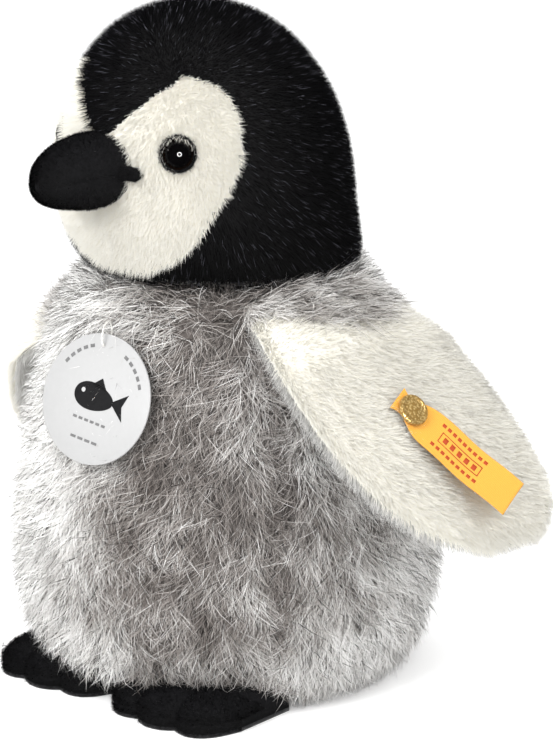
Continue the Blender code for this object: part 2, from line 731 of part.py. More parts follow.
make_body()
head_pivot = make_pivot("head_pivot", (0.0, 0.0, NECK_HEIGHT))
make_head(head_pivot)
make_eyes(head_pivot)
make_beak(head_pivot)
for foot_side in ("left", "right"):
    make_foot(foot_side)
for wing_side in ("left", "right"):
    wing_pivot = make_pivot(f"wing_pivot_{wing_side}", Wing(wing_side).hinge())
    made = make_wing(wing_side, wing_pivot)
    if wing_side == "left":
        make_label(*made, wing_pivot)
make_chest_tag()
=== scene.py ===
import math

import bmesh
import bpy
import numpy as np
from mathutils import Matrix, Vector, noise


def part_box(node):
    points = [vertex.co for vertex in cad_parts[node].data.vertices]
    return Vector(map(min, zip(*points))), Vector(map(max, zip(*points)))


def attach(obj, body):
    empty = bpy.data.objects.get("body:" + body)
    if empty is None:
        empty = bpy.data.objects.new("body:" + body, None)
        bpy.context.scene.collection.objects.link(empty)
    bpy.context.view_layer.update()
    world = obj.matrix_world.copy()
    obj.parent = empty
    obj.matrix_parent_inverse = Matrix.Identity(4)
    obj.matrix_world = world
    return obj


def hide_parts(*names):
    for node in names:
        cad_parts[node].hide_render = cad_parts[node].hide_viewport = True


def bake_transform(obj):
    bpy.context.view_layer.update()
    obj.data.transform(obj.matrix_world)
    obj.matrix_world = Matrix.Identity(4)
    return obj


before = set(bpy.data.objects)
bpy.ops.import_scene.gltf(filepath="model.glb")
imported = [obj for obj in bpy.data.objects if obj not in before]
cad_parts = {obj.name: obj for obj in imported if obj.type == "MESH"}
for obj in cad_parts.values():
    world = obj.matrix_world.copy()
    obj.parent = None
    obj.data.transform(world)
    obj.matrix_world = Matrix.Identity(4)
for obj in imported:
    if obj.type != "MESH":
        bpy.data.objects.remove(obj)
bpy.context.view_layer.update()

MM = 0.001


def box_mm(*nodes):
    """Lowest and highest corner of these CAD nodes together, in millimetres."""
    corners = [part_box(node) for node in nodes]
    low = np.min([np.array(c[0]) for c in corners], axis=0) / MM
    high = np.max([np.array(c[1]) for c in corners], axis=0) / MM
    return low, high


# ---------------------------------------------------------------- sizes, in millimetres

BASE_RADIUS = box_mm("body_base")[1][0]
BELLY_RADIUS = box_mm("body_back_left")[1][0]
BELLY_HEIGHT = 28.0
NECK_RADIUS = 29.5
NECK_HEIGHT = float(np.mean([c[2] for c in box_mm("neck_thread")])) + 0.1
SHOULDER_POWER = 1.8
SIDE_SEAM = 55.0

HEAD_RADIUS = 35.2
HEAD_WIDEST = 115.0
HEAD_TOP = box_mm("head_gusset")[1][2] + 0.02
HEAD_POWER = 2.15
HEAD_NECK_RADIUS = 31.0
HEAD_FORWARD = 6.5
HEAD_SPIN = Matrix.Rotation(math.radians(-5.0), 4, "Z")
HEAD_MIDDLE = np.array([0.0, -8.0, 122.0])
CHEEK_TOP = 147.2

BEAK_HALF_WIDTH = 9.6
BEAK_HALF_HEIGHT = 8.2
BEAK_HEIGHT = 124.5
BEAK_TIP = -57.3

EYE_ANGLE = -52.9
EYE_HEIGHT = 129.6
EYE_RADIUS = 3.7
EYE_CLEARING = 3.75
EYE_DOME = 3.7
EYE_SEAT = {"left": -3.7, "right": -4.15}

WING_LENGTH = 66.0
WING_HALF_WIDTH = 28.5
WING_HALF_THICKNESS = 4.6
WING_ROOT = np.array([31.5, 1.7, 89.6])
WING_DROOP = {"left": 46.5, "right": 54.0}
WING_SWEEP = {"left": -0.05, "right": 0.4}
WING_ROLL = {"left": -0.05, "right": 0.1}
WING_START = -4.5
WING_TRAIL = 15.5
SHOULDER_WRAP = 7.5
ROOT_LIFT = 3.2
WING_INSET = 1.5

FOOT_MIDDLE = 20.0
RIGHT_FOOT_SHIFT = (2.3, 1.9)
FOOT_HALF_WIDTH = 17.5
FOOT_REAR = -21.5
FOOT_FRONT = -50.2
FOOT_HEIGHT = 8.4

TAG_RADIUS = 14.9
TAG_HEIGHT = 72.7
TAG_LEAN = 17.0
TAG_TURN = 6.0
TAG_ANGLE = -88.3
RIBBON_LENGTH = 34.4
RIBBON_WIDTH = 10.6
BUTTON_AT = (33.0, -8.0)

DENSITY = 1.0


# ---------------------------------------------------------------- materials

def new_material(name):
    material = bpy.data.materials.new(name)
    material.use_nodes = True
    return material, material.node_tree.nodes, material.node_tree.links


def ramp(nodes, stops):
    node = nodes.new("ShaderNodeValToRGB")
    elements = node.color_ramp.elements
    while len(elements) > 1:
        elements.remove(elements[-1])
    for i, (place, colour) in enumerate(stops):
        element = elements[0] if i == 0 else elements.new(place)
        element.position = place
        element.color = (*colour, 1.0)
    return node


def hair_material(name, roots, tips, roughness=0.55, specular=0.35, bend=1.2):
    """Colour runs from root to tip; each hair's own tone picks where it sits on both ramps."""
    material, nodes, links = new_material(name)
    shader = nodes["Principled BSDF"]
    tone = nodes.new("ShaderNodeAttribute")
    tone.attribute_name = "tone"
    along = nodes.new("ShaderNodeAttribute")
    along.attribute_name = "along"
    low, high = ramp(nodes, roots), ramp(nodes, tips)
    power = nodes.new("ShaderNodeMath")
    power.operation = "POWER"
    power.inputs[1].default_value = bend
    mix = nodes.new("ShaderNodeMix")
    mix.data_type = "RGBA"
    links.new(tone.outputs["Fac"], low.inputs["Fac"])
    links.new(tone.outputs["Fac"], high.inputs["Fac"])
    links.new(along.outputs["Fac"], power.inputs[0])
    links.new(power.outputs[0], mix.inputs["Factor"])
    links.new(low.outputs["Color"], mix.inputs["A"])
    links.new(high.outputs["Color"], mix.inputs["B"])
    links.new(mix.outputs["Result"], shader.inputs["Base Color"])
    shader.inputs["Roughness"].default_value = roughness
    shader.inputs["Specular IOR Level"].default_value = specular
    return material


def surface_material(name, pattern, stops, values, bump=0.0, depth=0.0):
    """A surface coloured along a ramp by a pattern, which can also raise it by up to depth metres."""
    material, nodes, links = new_material(name)
    shader = nodes["Principled BSDF"]
    height = pattern(nodes, links, nodes.new("ShaderNodeTexCoord"))
    colours = ramp(nodes, stops)
    links.new(height, colours.inputs["Fac"])
    links.new(colours.outputs["Color"], shader.inputs["Base Color"])
    if bump:
        relief = nodes.new("ShaderNodeBump")
        relief.inputs["Strength"].default_value = bump
        relief.inputs["Distance"].default_value = depth
        links.new(height, relief.inputs["Height"])
        links.new(relief.outputs["Normal"], shader.inputs["Normal"])
    for label, value in values.items():
        shader.inputs[label].default_value = value
    return material


def textured(kind, output, **settings):
    """A pattern from one texture node, fixed to the object."""
    def pattern(nodes, links, place):
        texture = nodes.new(kind)
        for label, value in settings.items():
            texture.inputs[label].default_value = value
        links.new(place.outputs["Object"], texture.inputs["Vector"])
        return texture.outputs[output]
    return pattern


def woven(scale):
    """A pattern of two crossing sets of threads, laid along the UV map."""
    def pattern(nodes, links, place):
        both = nodes.new("ShaderNodeMath")
        both.operation = "MULTIPLY"
        for slot, direction in enumerate(("X", "Y")):
            wave = nodes.new("ShaderNodeTexWave")
            wave.bands_direction = direction
            wave.inputs["Scale"].default_value = scale
            wave.inputs["Distortion"].default_value = 0.6
            links.new(place.outputs["UV"], wave.inputs["Vector"])
            links.new(wave.outputs["Fac"], both.inputs[slot])
        return both.outputs[0]
    return pattern


def cloth_material(name, dark, light, scale=900.0, bump=0.3, roughness=0.95, sheen=0.2, specular=0.2):
    """Backing cloth, felt or velour: fine noise in colour and height."""
    return surface_material(name, textured("ShaderNodeTexNoise", "Fac", Scale=scale, Detail=6.0),
                            [(0.3, dark), (0.7, light)],
                            {"Roughness": roughness, "Sheen Weight": sheen, "Specular IOR Level": specular},
                            bump, 0.0003)


def plain_material(name, colour, roughness=0.5, grain=0.04, scale=600.0, specular=0.5):
    """Card, plastic or print: one colour with a faint grain."""
    darker = tuple(c * (1.0 - grain) for c in colour)
    return surface_material(name, textured("ShaderNodeTexNoise", "Fac", Scale=scale),
                            [(0.35, darker), (0.65, colour)],
                            {"Roughness": roughness, "Specular IOR Level": specular})


GREY_HAIR = hair_material(
    "grey_fur",
    [(0.0, (0.05, 0.042, 0.038)), (0.5, (0.2, 0.18, 0.165)), (1.0, (0.84, 0.83, 0.81))],
    [(0.0, (0.17, 0.145, 0.13)), (0.3, (0.36, 0.325, 0.3)), (0.6, (0.68, 0.655, 0.63)),
     (1.0, (0.98, 0.975, 0.96))],
    roughness=0.6, specular=0.3, bend=1.0)
BLACK_HAIR = hair_material(
    "black_pile",
    [(0.0, (0.0012, 0.0012, 0.0014)), (1.0, (0.0016, 0.0016, 0.002))],
    # The last stop gives a few hairs bluish-white tips: painted glints, in place of the sheen of light on the
    # black pile.
    [(0.0, (0.0022, 0.0022, 0.0026)), (0.9, (0.004, 0.004, 0.005)), (0.965, (0.012, 0.012, 0.015)),
     (1.0, (0.3, 0.3, 0.36))],
    roughness=0.6, specular=0.16)
CREAM_HAIR = hair_material(
    "cream_pile",
    [(0.0, (0.91, 0.87, 0.74)), (1.0, (0.94, 0.905, 0.8))],
    [(0.0, (0.95, 0.93, 0.85)), (1.0, (0.97, 0.96, 0.905))],
    roughness=0.7, specular=0.2)
LINING_HAIR = hair_material(
    "lining_pile",
    [(0.0, (0.5, 0.49, 0.46)), (1.0, (0.7, 0.69, 0.66))],
    [(0.0, (0.65, 0.64, 0.61)), (1.0, (0.93, 0.93, 0.91))],
    roughness=0.7, specular=0.2)
VELOUR_HAIR = hair_material(
    "velour_pile",
    [(0.0, (0.0016, 0.0016, 0.0018)), (1.0, (0.003, 0.003, 0.0034))],
    [(0.0, (0.004, 0.004, 0.0046)), (0.9, (0.009, 0.0085, 0.0095)), (1.0, (0.03, 0.028, 0.032))],
    roughness=0.75, specular=0.12)
# The grey fur's backing is coloured near black as painted shade, standing in for the shade deep between the
# hairs.
GREY_SKIN_PAINTED_SHADE = cloth_material("grey_backing_painted_shade", (0.07, 0.06, 0.055), (0.16, 0.14, 0.13), 700.0)
BLACK_SKIN = cloth_material("black_backing", (0.0012, 0.0012, 0.0014), (0.0025, 0.0025, 0.003), 900.0,
                            sheen=0.0, specular=0.1)
CREAM_SKIN = cloth_material("cream_backing", (0.88, 0.85, 0.77), (0.95, 0.93, 0.87), 900.0)
LINING_SKIN = cloth_material("lining_backing", (0.55, 0.54, 0.5), (0.68, 0.67, 0.63), 900.0)
VELOUR = cloth_material("velour", (0.003, 0.003, 0.0035), (0.007, 0.0068, 0.008), 1500.0, 0.6, 0.9, 0.0, 0.12)
FELT = cloth_material("base_felt", (0.2, 0.19, 0.18), (0.36, 0.35, 0.33), 1200.0, 0.6)
SOLE = cloth_material("sole_cloth", (0.008, 0.008, 0.009), (0.02, 0.02, 0.022), 1400.0, 0.5)
FIBRE = cloth_material("fibre_fill", (0.72, 0.72, 0.7), (0.95, 0.95, 0.93), 350.0, 1.0)
COTTON = cloth_material("bag_cotton", (0.6, 0.6, 0.56), (0.85, 0.85, 0.8), 1600.0, 0.5)
THREAD = cloth_material("sewing_thread", (0.5, 0.49, 0.46), (0.85, 0.84, 0.8), 2500.0, 0.5)
BRASS = surface_material(
    "brass", textured("ShaderNodeTexVoronoi", "Distance", Scale=1800.0),
    [(0.0, (0.95, 0.72, 0.32)), (0.6, (0.42, 0.25, 0.07))],
    {"Metallic": 0.55, "Roughness": 0.28}, 0.5, 0.0002)
PLASTIC = plain_material("washer_plastic", (0.7, 0.7, 0.7))
CARD = plain_material("tag_card", (0.4, 0.4, 0.4), 0.45, 0.02, 900.0, 0.35)
INK = plain_material("tag_ink", (0.012, 0.012, 0.013), 0.5, 0.2, 1500.0, 0.3)
PALE_INK = plain_material("tag_pale_ink", (0.16, 0.16, 0.16), 0.5, 0.2, 1500.0, 0.3)
EYE_BLACK = plain_material("eye_pupil", (0.002, 0.0018, 0.002), 0.05, 0.3, 300.0, 0.4)
EYE_BROWN = plain_material("eye_iris", (0.035, 0.017, 0.008), 0.06, 0.5, 900.0, 0.4)
RIBBON = surface_material(
    "ribbon_weave", woven(34.0), [(0.0, (0.62, 0.28, 0.02)), (0.6, (0.76, 0.38, 0.03))],
    {"Roughness": 0.75, "Sheen Weight": 0.15}, 0.25, 0.0001)
PRINT = plain_material("ribbon_print", (0.42, 0.06, 0.015), 0.7, 0.15, 2500.0, 0.2)


# ---------------------------------------------------------------- meshes

def mesh_object(name, points, faces, materials, smooth=True):
    """An object from points in millimetres and lists of corners."""
    mesh = bpy.data.meshes.new(name)
    mesh.from_pydata([Vector(p) * MM for p in points], [], faces)
    mesh.validate()
    for material in materials:
        mesh.materials.append(material)
    mesh.polygons.foreach_set("use_smooth", [smooth] * len(mesh.polygons))
    mesh.update()
    obj = bpy.data.objects.new(name, mesh)
    bpy.context.collection.objects.link(obj)
    return obj


def layers(outer, inner, columns, rows):
    """Points and faces of a closed skin between two surfaces of (u, v)."""
    points, faces = [], []
    width = columns + 1
    for surface in (outer, inner):
        points += [surface(i / columns, j / rows) for j in range(rows + 1) for i in range(width)]
    layer = width * (rows + 1)
    for j in range(rows):
        for i in range(columns):
            a = j * width + i
            faces.append((a, a + 1, a + width + 1, a + width))
            faces.append((layer + a, layer + a + width, layer + a + width + 1, layer + a + 1))
    rim = list(range(width)) + [j * width + columns for j in range(1, rows + 1)]
    rim += [rows * width + i for i in range(columns - 1, -1, -1)]
    rim += [j * width for j in range(rows - 1, 0, -1)]
    for k, a in enumerate(rim):
        b = rim[(k + 1) % len(rim)]
        faces.append((b, a, layer + a, layer + b))
    return points, faces


def shell(name, outer, inner, columns, rows, material):
    """A closed skin between two surfaces of (u, v), both mapped to the same UV square."""
    points, faces = layers(outer, inner, columns, rows)
    width, layer = columns + 1, len(points) // 2
    obj = mesh_object(name, points, faces, [material])
    face_outward(obj)
    uv = obj.data.uv_layers.new(name="UVMap")
    for loop in obj.data.loops:
        place = loop.vertex_index % layer
        uv.data[loop.index].uv = ((place % width) / columns, (place // width) / rows)
    return obj


def face_outward(obj):
    bm = bmesh.new()
    bm.from_mesh(obj.data)
    bmesh.ops.recalc_face_normals(bm, faces=bm.faces)
    if bm.calc_volume(signed=True) < 0:
        bmesh.ops.reverse_faces(bm, faces=bm.faces)
    bm.to_mesh(obj.data)
    bm.free()


def lathe(name, profile, matrix, around, materials, bands=None):
    """A turned piece about local Z; bands gives each ring of faces its material."""
    points, faces, slots = [], [], []
    starts = []
    for radius, height in profile:
        starts.append(len(points))
        if radius == 0.0:
            points.append(matrix @ Vector((0.0, 0.0, height)))
            continue
        points += [matrix @ Vector((radius * math.cos(a), radius * math.sin(a), height))
                   for a in np.linspace(0.0, 2 * math.pi, around, endpoint=False)]
    counts = [1 if radius == 0.0 else around for radius, _ in profile]
    for k in range(len(profile) - 1):
        for i in range(around):
            corners = [starts[k] + i % counts[k], starts[k] + (i + 1) % counts[k],
                       starts[k + 1] + (i + 1) % counts[k + 1], starts[k + 1] + i % counts[k + 1]]
            faces.append(tuple(dict.fromkeys(corners)))
            slots.append(bands[k] if bands else 0)
    for k in (0, -1):
        if counts[k] > 1:
            faces.append(tuple(range(starts[k], starts[k] + around)))
            slots.append(0)
    obj = mesh_object(name, points, faces, materials)
    for polygon, slot in zip(obj.data.polygons, slots):
        polygon.material_index = slot
    face_outward(obj)
    return obj


def frame_from(point, outward, upward=(0.0, 0.0, 1.0)):
    """Local +Z along outward and local +Y as near upward as it can, at point."""
    z = Vector(outward).normalized()
    x = Vector(upward).cross(z).normalized()
    y = z.cross(x)
    matrix = Matrix((x, y, z)).transposed().to_4x4()
    matrix.translation = Vector(point)
    return matrix


# ---------------------------------------------------------------- fur

HAIRS_PER_PIECE = 38000
TUFT_SIZE = 2.4
RIBBON_TWIST = 0.35


def unit(vectors):
    return vectors / np.maximum(np.linalg.norm(vectors, axis=1, keepdims=True), 1e-9)


def hair_piece(name, points, levels, tone, normals, material):
    """One mesh of strands in millimetres: ribbons of (2 * levels + 1) points, or needles of 4 at level 0."""
    hairs, corners = points.shape[:2]
    base = (np.arange(hairs) * corners)[:, None]
    bands = [base + np.array([2 * k, 2 * k + 1, 2 * k + 3, 2 * k + 2]) for k in range(levels - 1)]
    quads = np.concatenate(bands, axis=1).reshape(-1) if bands else np.empty(0, int)
    if levels:
        ends = (base + np.array([2 * levels - 2, 2 * levels - 1, 2 * levels])).reshape(-1)
        reach = np.append(np.repeat(np.arange(levels) / levels, 2), 1.0)
        side = np.append(np.tile([0.2, 0.8], levels), 0.5)
    else:
        ends = (base + np.array([0, 1, 3, 1, 2, 3, 2, 0, 3])).reshape(-1)
        reach = np.array([0.0, 0.0, 0.0, 1.0])
        side = np.array([0.2, 0.5, 0.8, 0.5])
    mesh = bpy.data.meshes.new(name)
    mesh.vertices.add(hairs * corners)
    mesh.vertices.foreach_set("co", (points * MM).astype(np.float32).reshape(-1))
    mesh.loops.add(len(quads) + len(ends))
    mesh.loops.foreach_set("vertex_index", np.concatenate([quads, ends]).astype(np.int32))
    quad_count, end_count = len(quads) // 4, len(ends) // 3
    starts = np.concatenate([np.arange(quad_count) * 4, len(quads) + np.arange(end_count) * 3])
    mesh.polygons.add(quad_count + end_count)
    mesh.polygons.foreach_set("loop_start", starts.astype(np.int32))
    mesh.polygons.foreach_set("use_smooth", np.ones(quad_count + end_count, bool))
    mesh.update(calc_edges=True)
    for label, values in (("along", np.tile(reach, hairs)), ("tone", np.repeat(tone, corners))):
        attribute = mesh.attributes.new(label, "FLOAT", "POINT")
        attribute.data.foreach_set("value", values.astype(np.float32))
    across = int(math.ceil(math.sqrt(hairs)))
    cell = np.stack([np.arange(hairs) % across, np.arange(hairs) // across], axis=1)
    inside = np.stack([side, 0.1 + 0.8 * reach], axis=1)
    uv_points = ((cell[:, None, :] + inside[None]) / across).reshape(-1, 2)
    uv = mesh.uv_layers.new(name="OFBake")
    indices = np.empty(len(mesh.loops), np.int32)
    mesh.loops.foreach_get("vertex_index", indices)
    uv.data.foreach_set("uv", uv_points[indices].astype(np.float32).reshape(-1))
    mesh.normals_split_custom_set_from_vertices(np.repeat(normals, corners, axis=0))
    mesh.materials.append(material)
    obj = bpy.data.objects.new(name, mesh)
    bpy.context.collection.objects.link(obj)
    return obj


def grow(name, roots, normals, combs, random, material, length, width, stand, lean, stray=0.25,
         droop=0.3, swirl=0.35, spread=0.18, levels=2, tone=None, clamp=None, tuft=0.0):
    """Strands from roots: each stands off the skin, leans along its comb direction, bends and tapers."""
    hairs = len(roots)
    noise_way = random.normal(size=(hairs, 3))
    start = stand * normals + lean * combs + stray * noise_way
    if tuft:
        start = start + tuft * clumps(roots, TUFT_SIZE, 3.3)
    start = unit(start)
    lengths = (length * np.clip(1.0 + spread * random.normal(size=hairs), 0.45, 1.6))[:, None]
    sideways = np.cross(normals, combs)
    turn = swirl * random.normal(size=hairs)[:, None]
    bend = droop * (0.7 * combs - 0.75 * normals) + turn * sideways
    if levels:
        flat = unit(np.cross(start, unit(normals + RIBBON_TWIST * random.normal(size=(hairs, 3)))))
        rows = []
        for k in range(levels):
            h = k / levels
            middle = roots + lengths * (h * start + h * h * bend)
            half = 0.5 * width * (1.0 - 0.55 * h ** 2) * (0.8 if k == 0 else 1.0)
            rows += [middle - half * flat, middle + half * flat]
    else:
        first = unit(np.cross(start, noise_way))
        second = np.cross(start, first)
        rows = [roots + 0.58 * width * (math.cos(a) * first + math.sin(a) * second)
                for a in (0.0, 2 * math.pi / 3, 4 * math.pi / 3)]
    rows.append(roots + lengths * (start + bend))
    points = np.stack(rows, axis=1)
    if clamp is not None:
        points = clamp(points)
    tone = random.random(hairs) if tone is None else tone
    shade = unit(normals + 0.35 * start + 0.12 * noise_way)
    pieces = []
    count = max(1, math.ceil(hairs / HAIRS_PER_PIECE))
    for part, chosen in enumerate(np.array_split(np.arange(hairs), count)):
        label = name if count == 1 else f"{name}_{part + 1}"
        pieces.append(hair_piece(label, points[chosen], levels, tone[chosen], shade[chosen], material))
    return pieces


NOISE_CELLS = 32
NOISE = np.random.default_rng(5).uniform(-1.0, 1.0, (NOISE_CELLS,) * 3)


def patchy(points, scale, offset=0.0):
    """Smooth noise between -1 and 1 at points in millimetres."""
    place = points / scale + offset * np.array([1.0, 2.3, -1.7])
    cell = np.floor(place).astype(int)
    share = place - cell
    share = share * share * (3.0 - 2.0 * share)
    total = np.zeros(len(points))
    for corner in np.ndindex(2, 2, 2):
        weight = np.prod(np.where(corner, share, 1.0 - share), axis=1)
        x, y, z = ((cell + corner) % NOISE_CELLS).T
        total += weight * NOISE[x, y, z]
    return total


def clumps(points, scale, offset):
    """A smooth field of small sideways pushes, which draws strands together in tufts."""
    return np.stack([patchy(points, scale, offset + k) for k in (0.0, 7.7, 15.1)], axis=1)


# ---------------------------------------------------------------- shapes, for arrays

def body_radius(z):
    z = np.asarray(z, float)
    rise = np.clip((z - BELLY_HEIGHT) / (NECK_HEIGHT - BELLY_HEIGHT), 0.0, 1.0)
    bulge = (1.0 - rise ** SHOULDER_POWER) ** (1.0 / SHOULDER_POWER)
    upper = NECK_RADIUS + (BELLY_RADIUS - NECK_RADIUS) * bulge
    drop = np.clip((BELLY_HEIGHT - z) / BELLY_HEIGHT, 0.0, 1.0)
    lower = BASE_RADIUS + (BELLY_RADIUS - BASE_RADIUS) * np.sqrt(1.0 - drop ** 2)
    return np.where(z > BELLY_HEIGHT, upper, lower)


def body_slope(z, step, steepest):
    """Change of the body's radius with height, taken over a step to each side."""
    change = body_radius(np.minimum(z + step, NECK_HEIGHT)) - body_radius(np.maximum(z - step, 0.0))
    return np.clip(change / (2 * step), -steepest, steepest)


def body_surface(angle, z, inset=0.0):
    radius = body_radius(z) - inset
    return np.stack([radius * np.cos(angle), radius * np.sin(angle), z + 0.0 * radius], axis=-1)


def head_circle(z):
    z = np.asarray(z, float)
    rise = np.clip((z - HEAD_WIDEST) / (HEAD_TOP - HEAD_WIDEST), 0.0, 1.0)
    upper = HEAD_RADIUS * (1.0 - rise ** HEAD_POWER) ** (1.0 / HEAD_POWER)
    drop = np.clip((HEAD_WIDEST - z) / (HEAD_WIDEST - NECK_HEIGHT), 0.0, 1.0)
    lower = HEAD_NECK_RADIUS + (HEAD_RADIUS - HEAD_NECK_RADIUS) * np.sqrt(1.0 - drop ** 2)
    radius = np.where(z >= HEAD_WIDEST, upper, lower)
    forward = np.where(z >= HEAD_WIDEST, -HEAD_FORWARD - 3.0 * rise,
                       -HEAD_FORWARD + (HEAD_FORWARD - 0.5) * drop ** 1.5)
    return radius, forward


def spin_head(points):
    """Turns points of the head, given facing straight ahead, to where the head looks."""
    rotation = np.array(HEAD_SPIN.to_3x3())
    return points @ rotation.T


def head_surface(angle, z, inset=0.0):
    """Points of the head, not yet turned."""
    radius, forward = head_circle(z)
    points = np.stack([radius * np.cos(angle), forward + radius * np.sin(angle), z + 0.0 * radius], axis=-1)
    away = points - HEAD_MIDDLE
    return points - inset * away / np.linalg.norm(away, axis=-1, keepdims=True)


def gusset_half_width(angle):
    opening = np.clip((angle - 19.0) / 27.0, 0.0, 1.0)
    closing = np.clip((angle - 110.0) / 100.0, 0.0, 1.0)
    return 2.6 + 13.4 * opening ** 0.8 - 7.0 * closing


def on_gusset(points):
    """Which head points, not yet turned, lie on the black strip."""
    angle = np.degrees(np.arctan2(points[:, 2] - HEAD_MIDDLE[2], HEAD_MIDDLE[1] - points[:, 1])) % 360.0
    return (np.abs(points[:, 0]) < gusset_half_width(angle)) & (angle > 19.0) & (angle < 215.0)


CHEEK_HEIGHTS = (98.9, 102.0, 105.0, 110.0, 115.0, 120.0, 125.0, 130.0, 137.0, 142.0, 145.0, 147.2)
CHEEK_ANGLES = (-78.0, -63.5, -54.0, -46.0, -40.0, -34.0, -29.6, -27.4, -26.8, -28.5, -34.0, -48.0)


def on_cheek(points):
    """Which head points, not yet turned, lie on the cream cheeks."""
    _, forward = head_circle(points[:, 2])
    angle = np.degrees(np.arctan2(points[:, 1] - forward, np.abs(points[:, 0])))
    rear = np.interp(points[:, 2], CHEEK_HEIGHTS, CHEEK_ANGLES)
    high = (points[:, 2] > CHEEK_HEIGHTS[0]) & (points[:, 2] < CHEEK_TOP)
    return high & (angle < rear) & ~on_gusset(points)


# ---------------------------------------------------------------- the body

def foot_ceiling(x, y):
    """Height that fur must stay above where a foot lies under it."""
    inward, backward = RIGHT_FOOT_SHIFT
    right = x < 0.0
    middle = np.where(right, inward - FOOT_MIDDLE, FOOT_MIDDLE)
    share = np.where(right, -1.0, 1.0) * (x - middle) / (FOOT_HALF_WIDTH + 0.6)
    front = toe_line(np.clip(share, -1, 1) * FOOT_HALF_WIDTH) + np.where(right, backward, 0.0)
    reach = (y - FOOT_REAR) / (front - FOOT_REAR)
    over = (np.abs(share) < 1.0) & (reach < 1.02) & (reach > -0.2)
    height = foot_top(np.clip(share, -1.0, 1.0) * FOOT_HALF_WIDTH, np.clip(reach, 0.0, 1.0))
    return np.where(over, height + 0.35, 0.25)


def toe_line(x):
    share = np.asarray(x, float) / FOOT_HALF_WIDTH
    notch = 1.0 - np.abs(np.cos(1.5 * math.pi * share)) ** 0.7
    return FOOT_FRONT + 3.6 * share ** 2 + 2.3 * notch + 6.0 * np.abs(share) ** 10


def foot_top(x, reach):
    share = np.asarray(x, float) / FOOT_HALF_WIDTH
    dome = np.sqrt(np.clip(1.0 - share ** 4, 0, 1)) * np.sqrt(np.clip(1.0 - reach ** 5, 0, 1))
    crease = sum(np.exp(-((x - side * FOOT_HALF_WIDTH / 3.0) / 1.5) ** 2) for side in (-1.0, 1.0))
    return 2.9 + (FOOT_HEIGHT - 2.9) * dome - 1.4 * crease * reach ** 3 * dome


def keep_off_feet(points):
    floor = foot_ceiling(points[..., 0], points[..., 1])
    points[..., 2] = np.maximum(points[..., 2], floor)
    return points


BODY_INSET = 3.0
BODY_PANELS = {
    "body_front_left": (-90.0, -90.0 + SIDE_SEAM),
    "body_front_right": (-90.0 - SIDE_SEAM, -90.0),
    "body_back_left": (-90.0 + SIDE_SEAM, 90.0),
    "body_back_right": (90.0, 270.0 - SIDE_SEAM),
}


def body_hem(angle):
    """Lowest point of the fur cloth: it lifts over the feet at the front."""
    turn = np.abs((np.degrees(angle) + 90.0 + 180.0) % 360.0 - 180.0)
    lift = np.clip((62.0 - turn) / 16.0, 0.0, 1.0)
    return 1.0 + 7.8 * lift * lift * (3.0 - 2.0 * lift)


def make_body_skins():
    top = NECK_HEIGHT - 0.4
    for name, (first, last) in BODY_PANELS.items():
        def surface(inset):
            def point(u, v):
                angle = math.radians(first + (last - first) * u)
                low = float(body_hem(angle))
                return body_surface(angle, low + (top - low) * v, inset)
            return point
        columns = max(12, round((last - first) / 3.0))
        skin = shell(f"skin_{name}", surface(BODY_INSET), surface(BODY_INSET + 0.9), columns, 40, GREY_SKIN_PAINTED_SHADE)
        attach(skin, "body")
        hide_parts(name)


BODY_HAIR = 6.2
COLLAR_START = 86.0
# Tones by angle at breast, belly and hem: the fur's own tone mixed with painted light. The pale front-right
# side (near -135) and the pale hem carry painted light from the lamps. The lower belly values from -35 to -12
# are partly a painted shadow of the left wing.
TONE_ANGLES = (-180.0, -135.0, -98.0, -86.0, -76.0, -57.0, -48.0, -35.0, -26.0, -12.0, 10.0, 60.0, 180.0)
TONE_BREAST = (0.9, 1.0, 0.95, 0.75, 0.5, 0.17, 0.25, 0.3, 0.72, 0.85, 0.85, 0.85, 0.9)
TONE_BELLY = (0.9, 1.0, 0.92, 0.62, 0.2, 0.1, 0.25, 0.2, 0.5, 0.55, 0.8, 0.8, 0.9)
TONE_HEM = (0.9, 1.0, 0.85, 0.84, 0.5, 0.33, 0.36, 0.42, 0.72, 0.85, 0.88, 0.8, 0.9)


def turned(angle):
    """An angle in degrees, between -180 and 180."""
    return (np.degrees(angle) + 180.0) % 360.0 - 180.0


def fur_tone_and_painted_light(points, angle, z, random):
    """How light each body hair is: a dark breast, pale sides and hem, a dark side seam beside a pale band. The
    pale front-right side and the pale hem are partly painted light, and the darker belly beside the left wing
    is partly a painted shadow of the wing.
    """
    count = len(points)
    turn = turned(angle)
    low, high = np.clip((44.0 - z) / 28.0, 0.0, 1.0), np.clip((z - 66.0) / 14.0, 0.0, 1.0)
    base = ((1.0 - low - high) * np.interp(turn, TONE_ANGLES, TONE_BELLY)
            + low * np.interp(turn, TONE_ANGLES, TONE_HEM) + high * np.interp(turn, TONE_ANGLES, TONE_BREAST))
    seam_mm = np.radians(np.abs(turn + 90.0) - SIDE_SEAM) * body_radius(z)
    band = 0.16 * np.exp(-((seam_mm + 6.0) / 3.6) ** 2) - 0.2 * np.exp(-((seam_mm - 0.6) / 1.7) ** 2)
    patches = 0.24 * patchy(points, 8.0, 3.1) + 0.24 * patchy(points, 3.0, 8.7)
    strand = 0.44 * (random.random(count) - 0.55) + 0.36 * (random.random(count) < 0.2)
    return np.clip(base + band + patches + strand, 0.0, 1.0)


def comb_body(angle, z, normals, points):
    """Down the body, swerving in patches, parted along the side seams."""
    down = np.stack([0.0 * angle, 0.0 * angle, -1.0 + 0.0 * angle], axis=1)
    down = unit(down - (down * normals).sum(axis=1, keepdims=True) * normals)
    round_way = np.cross(normals, down)
    turn = turned(angle)
    swerve = 0.6 * patchy(points, 16.0, 5.5) + 0.4 * patchy(points, 6.0, 1.2)
    seam_mm = np.radians(np.abs(turn + 90.0) - SIDE_SEAM) * body_radius(z)
    part = 0.8 * np.exp(-np.abs(seam_mm) / 5.0) * np.sign(seam_mm) * np.sign(turn + 90.0)
    return unit(down + (swerve - part)[:, None] * round_way)


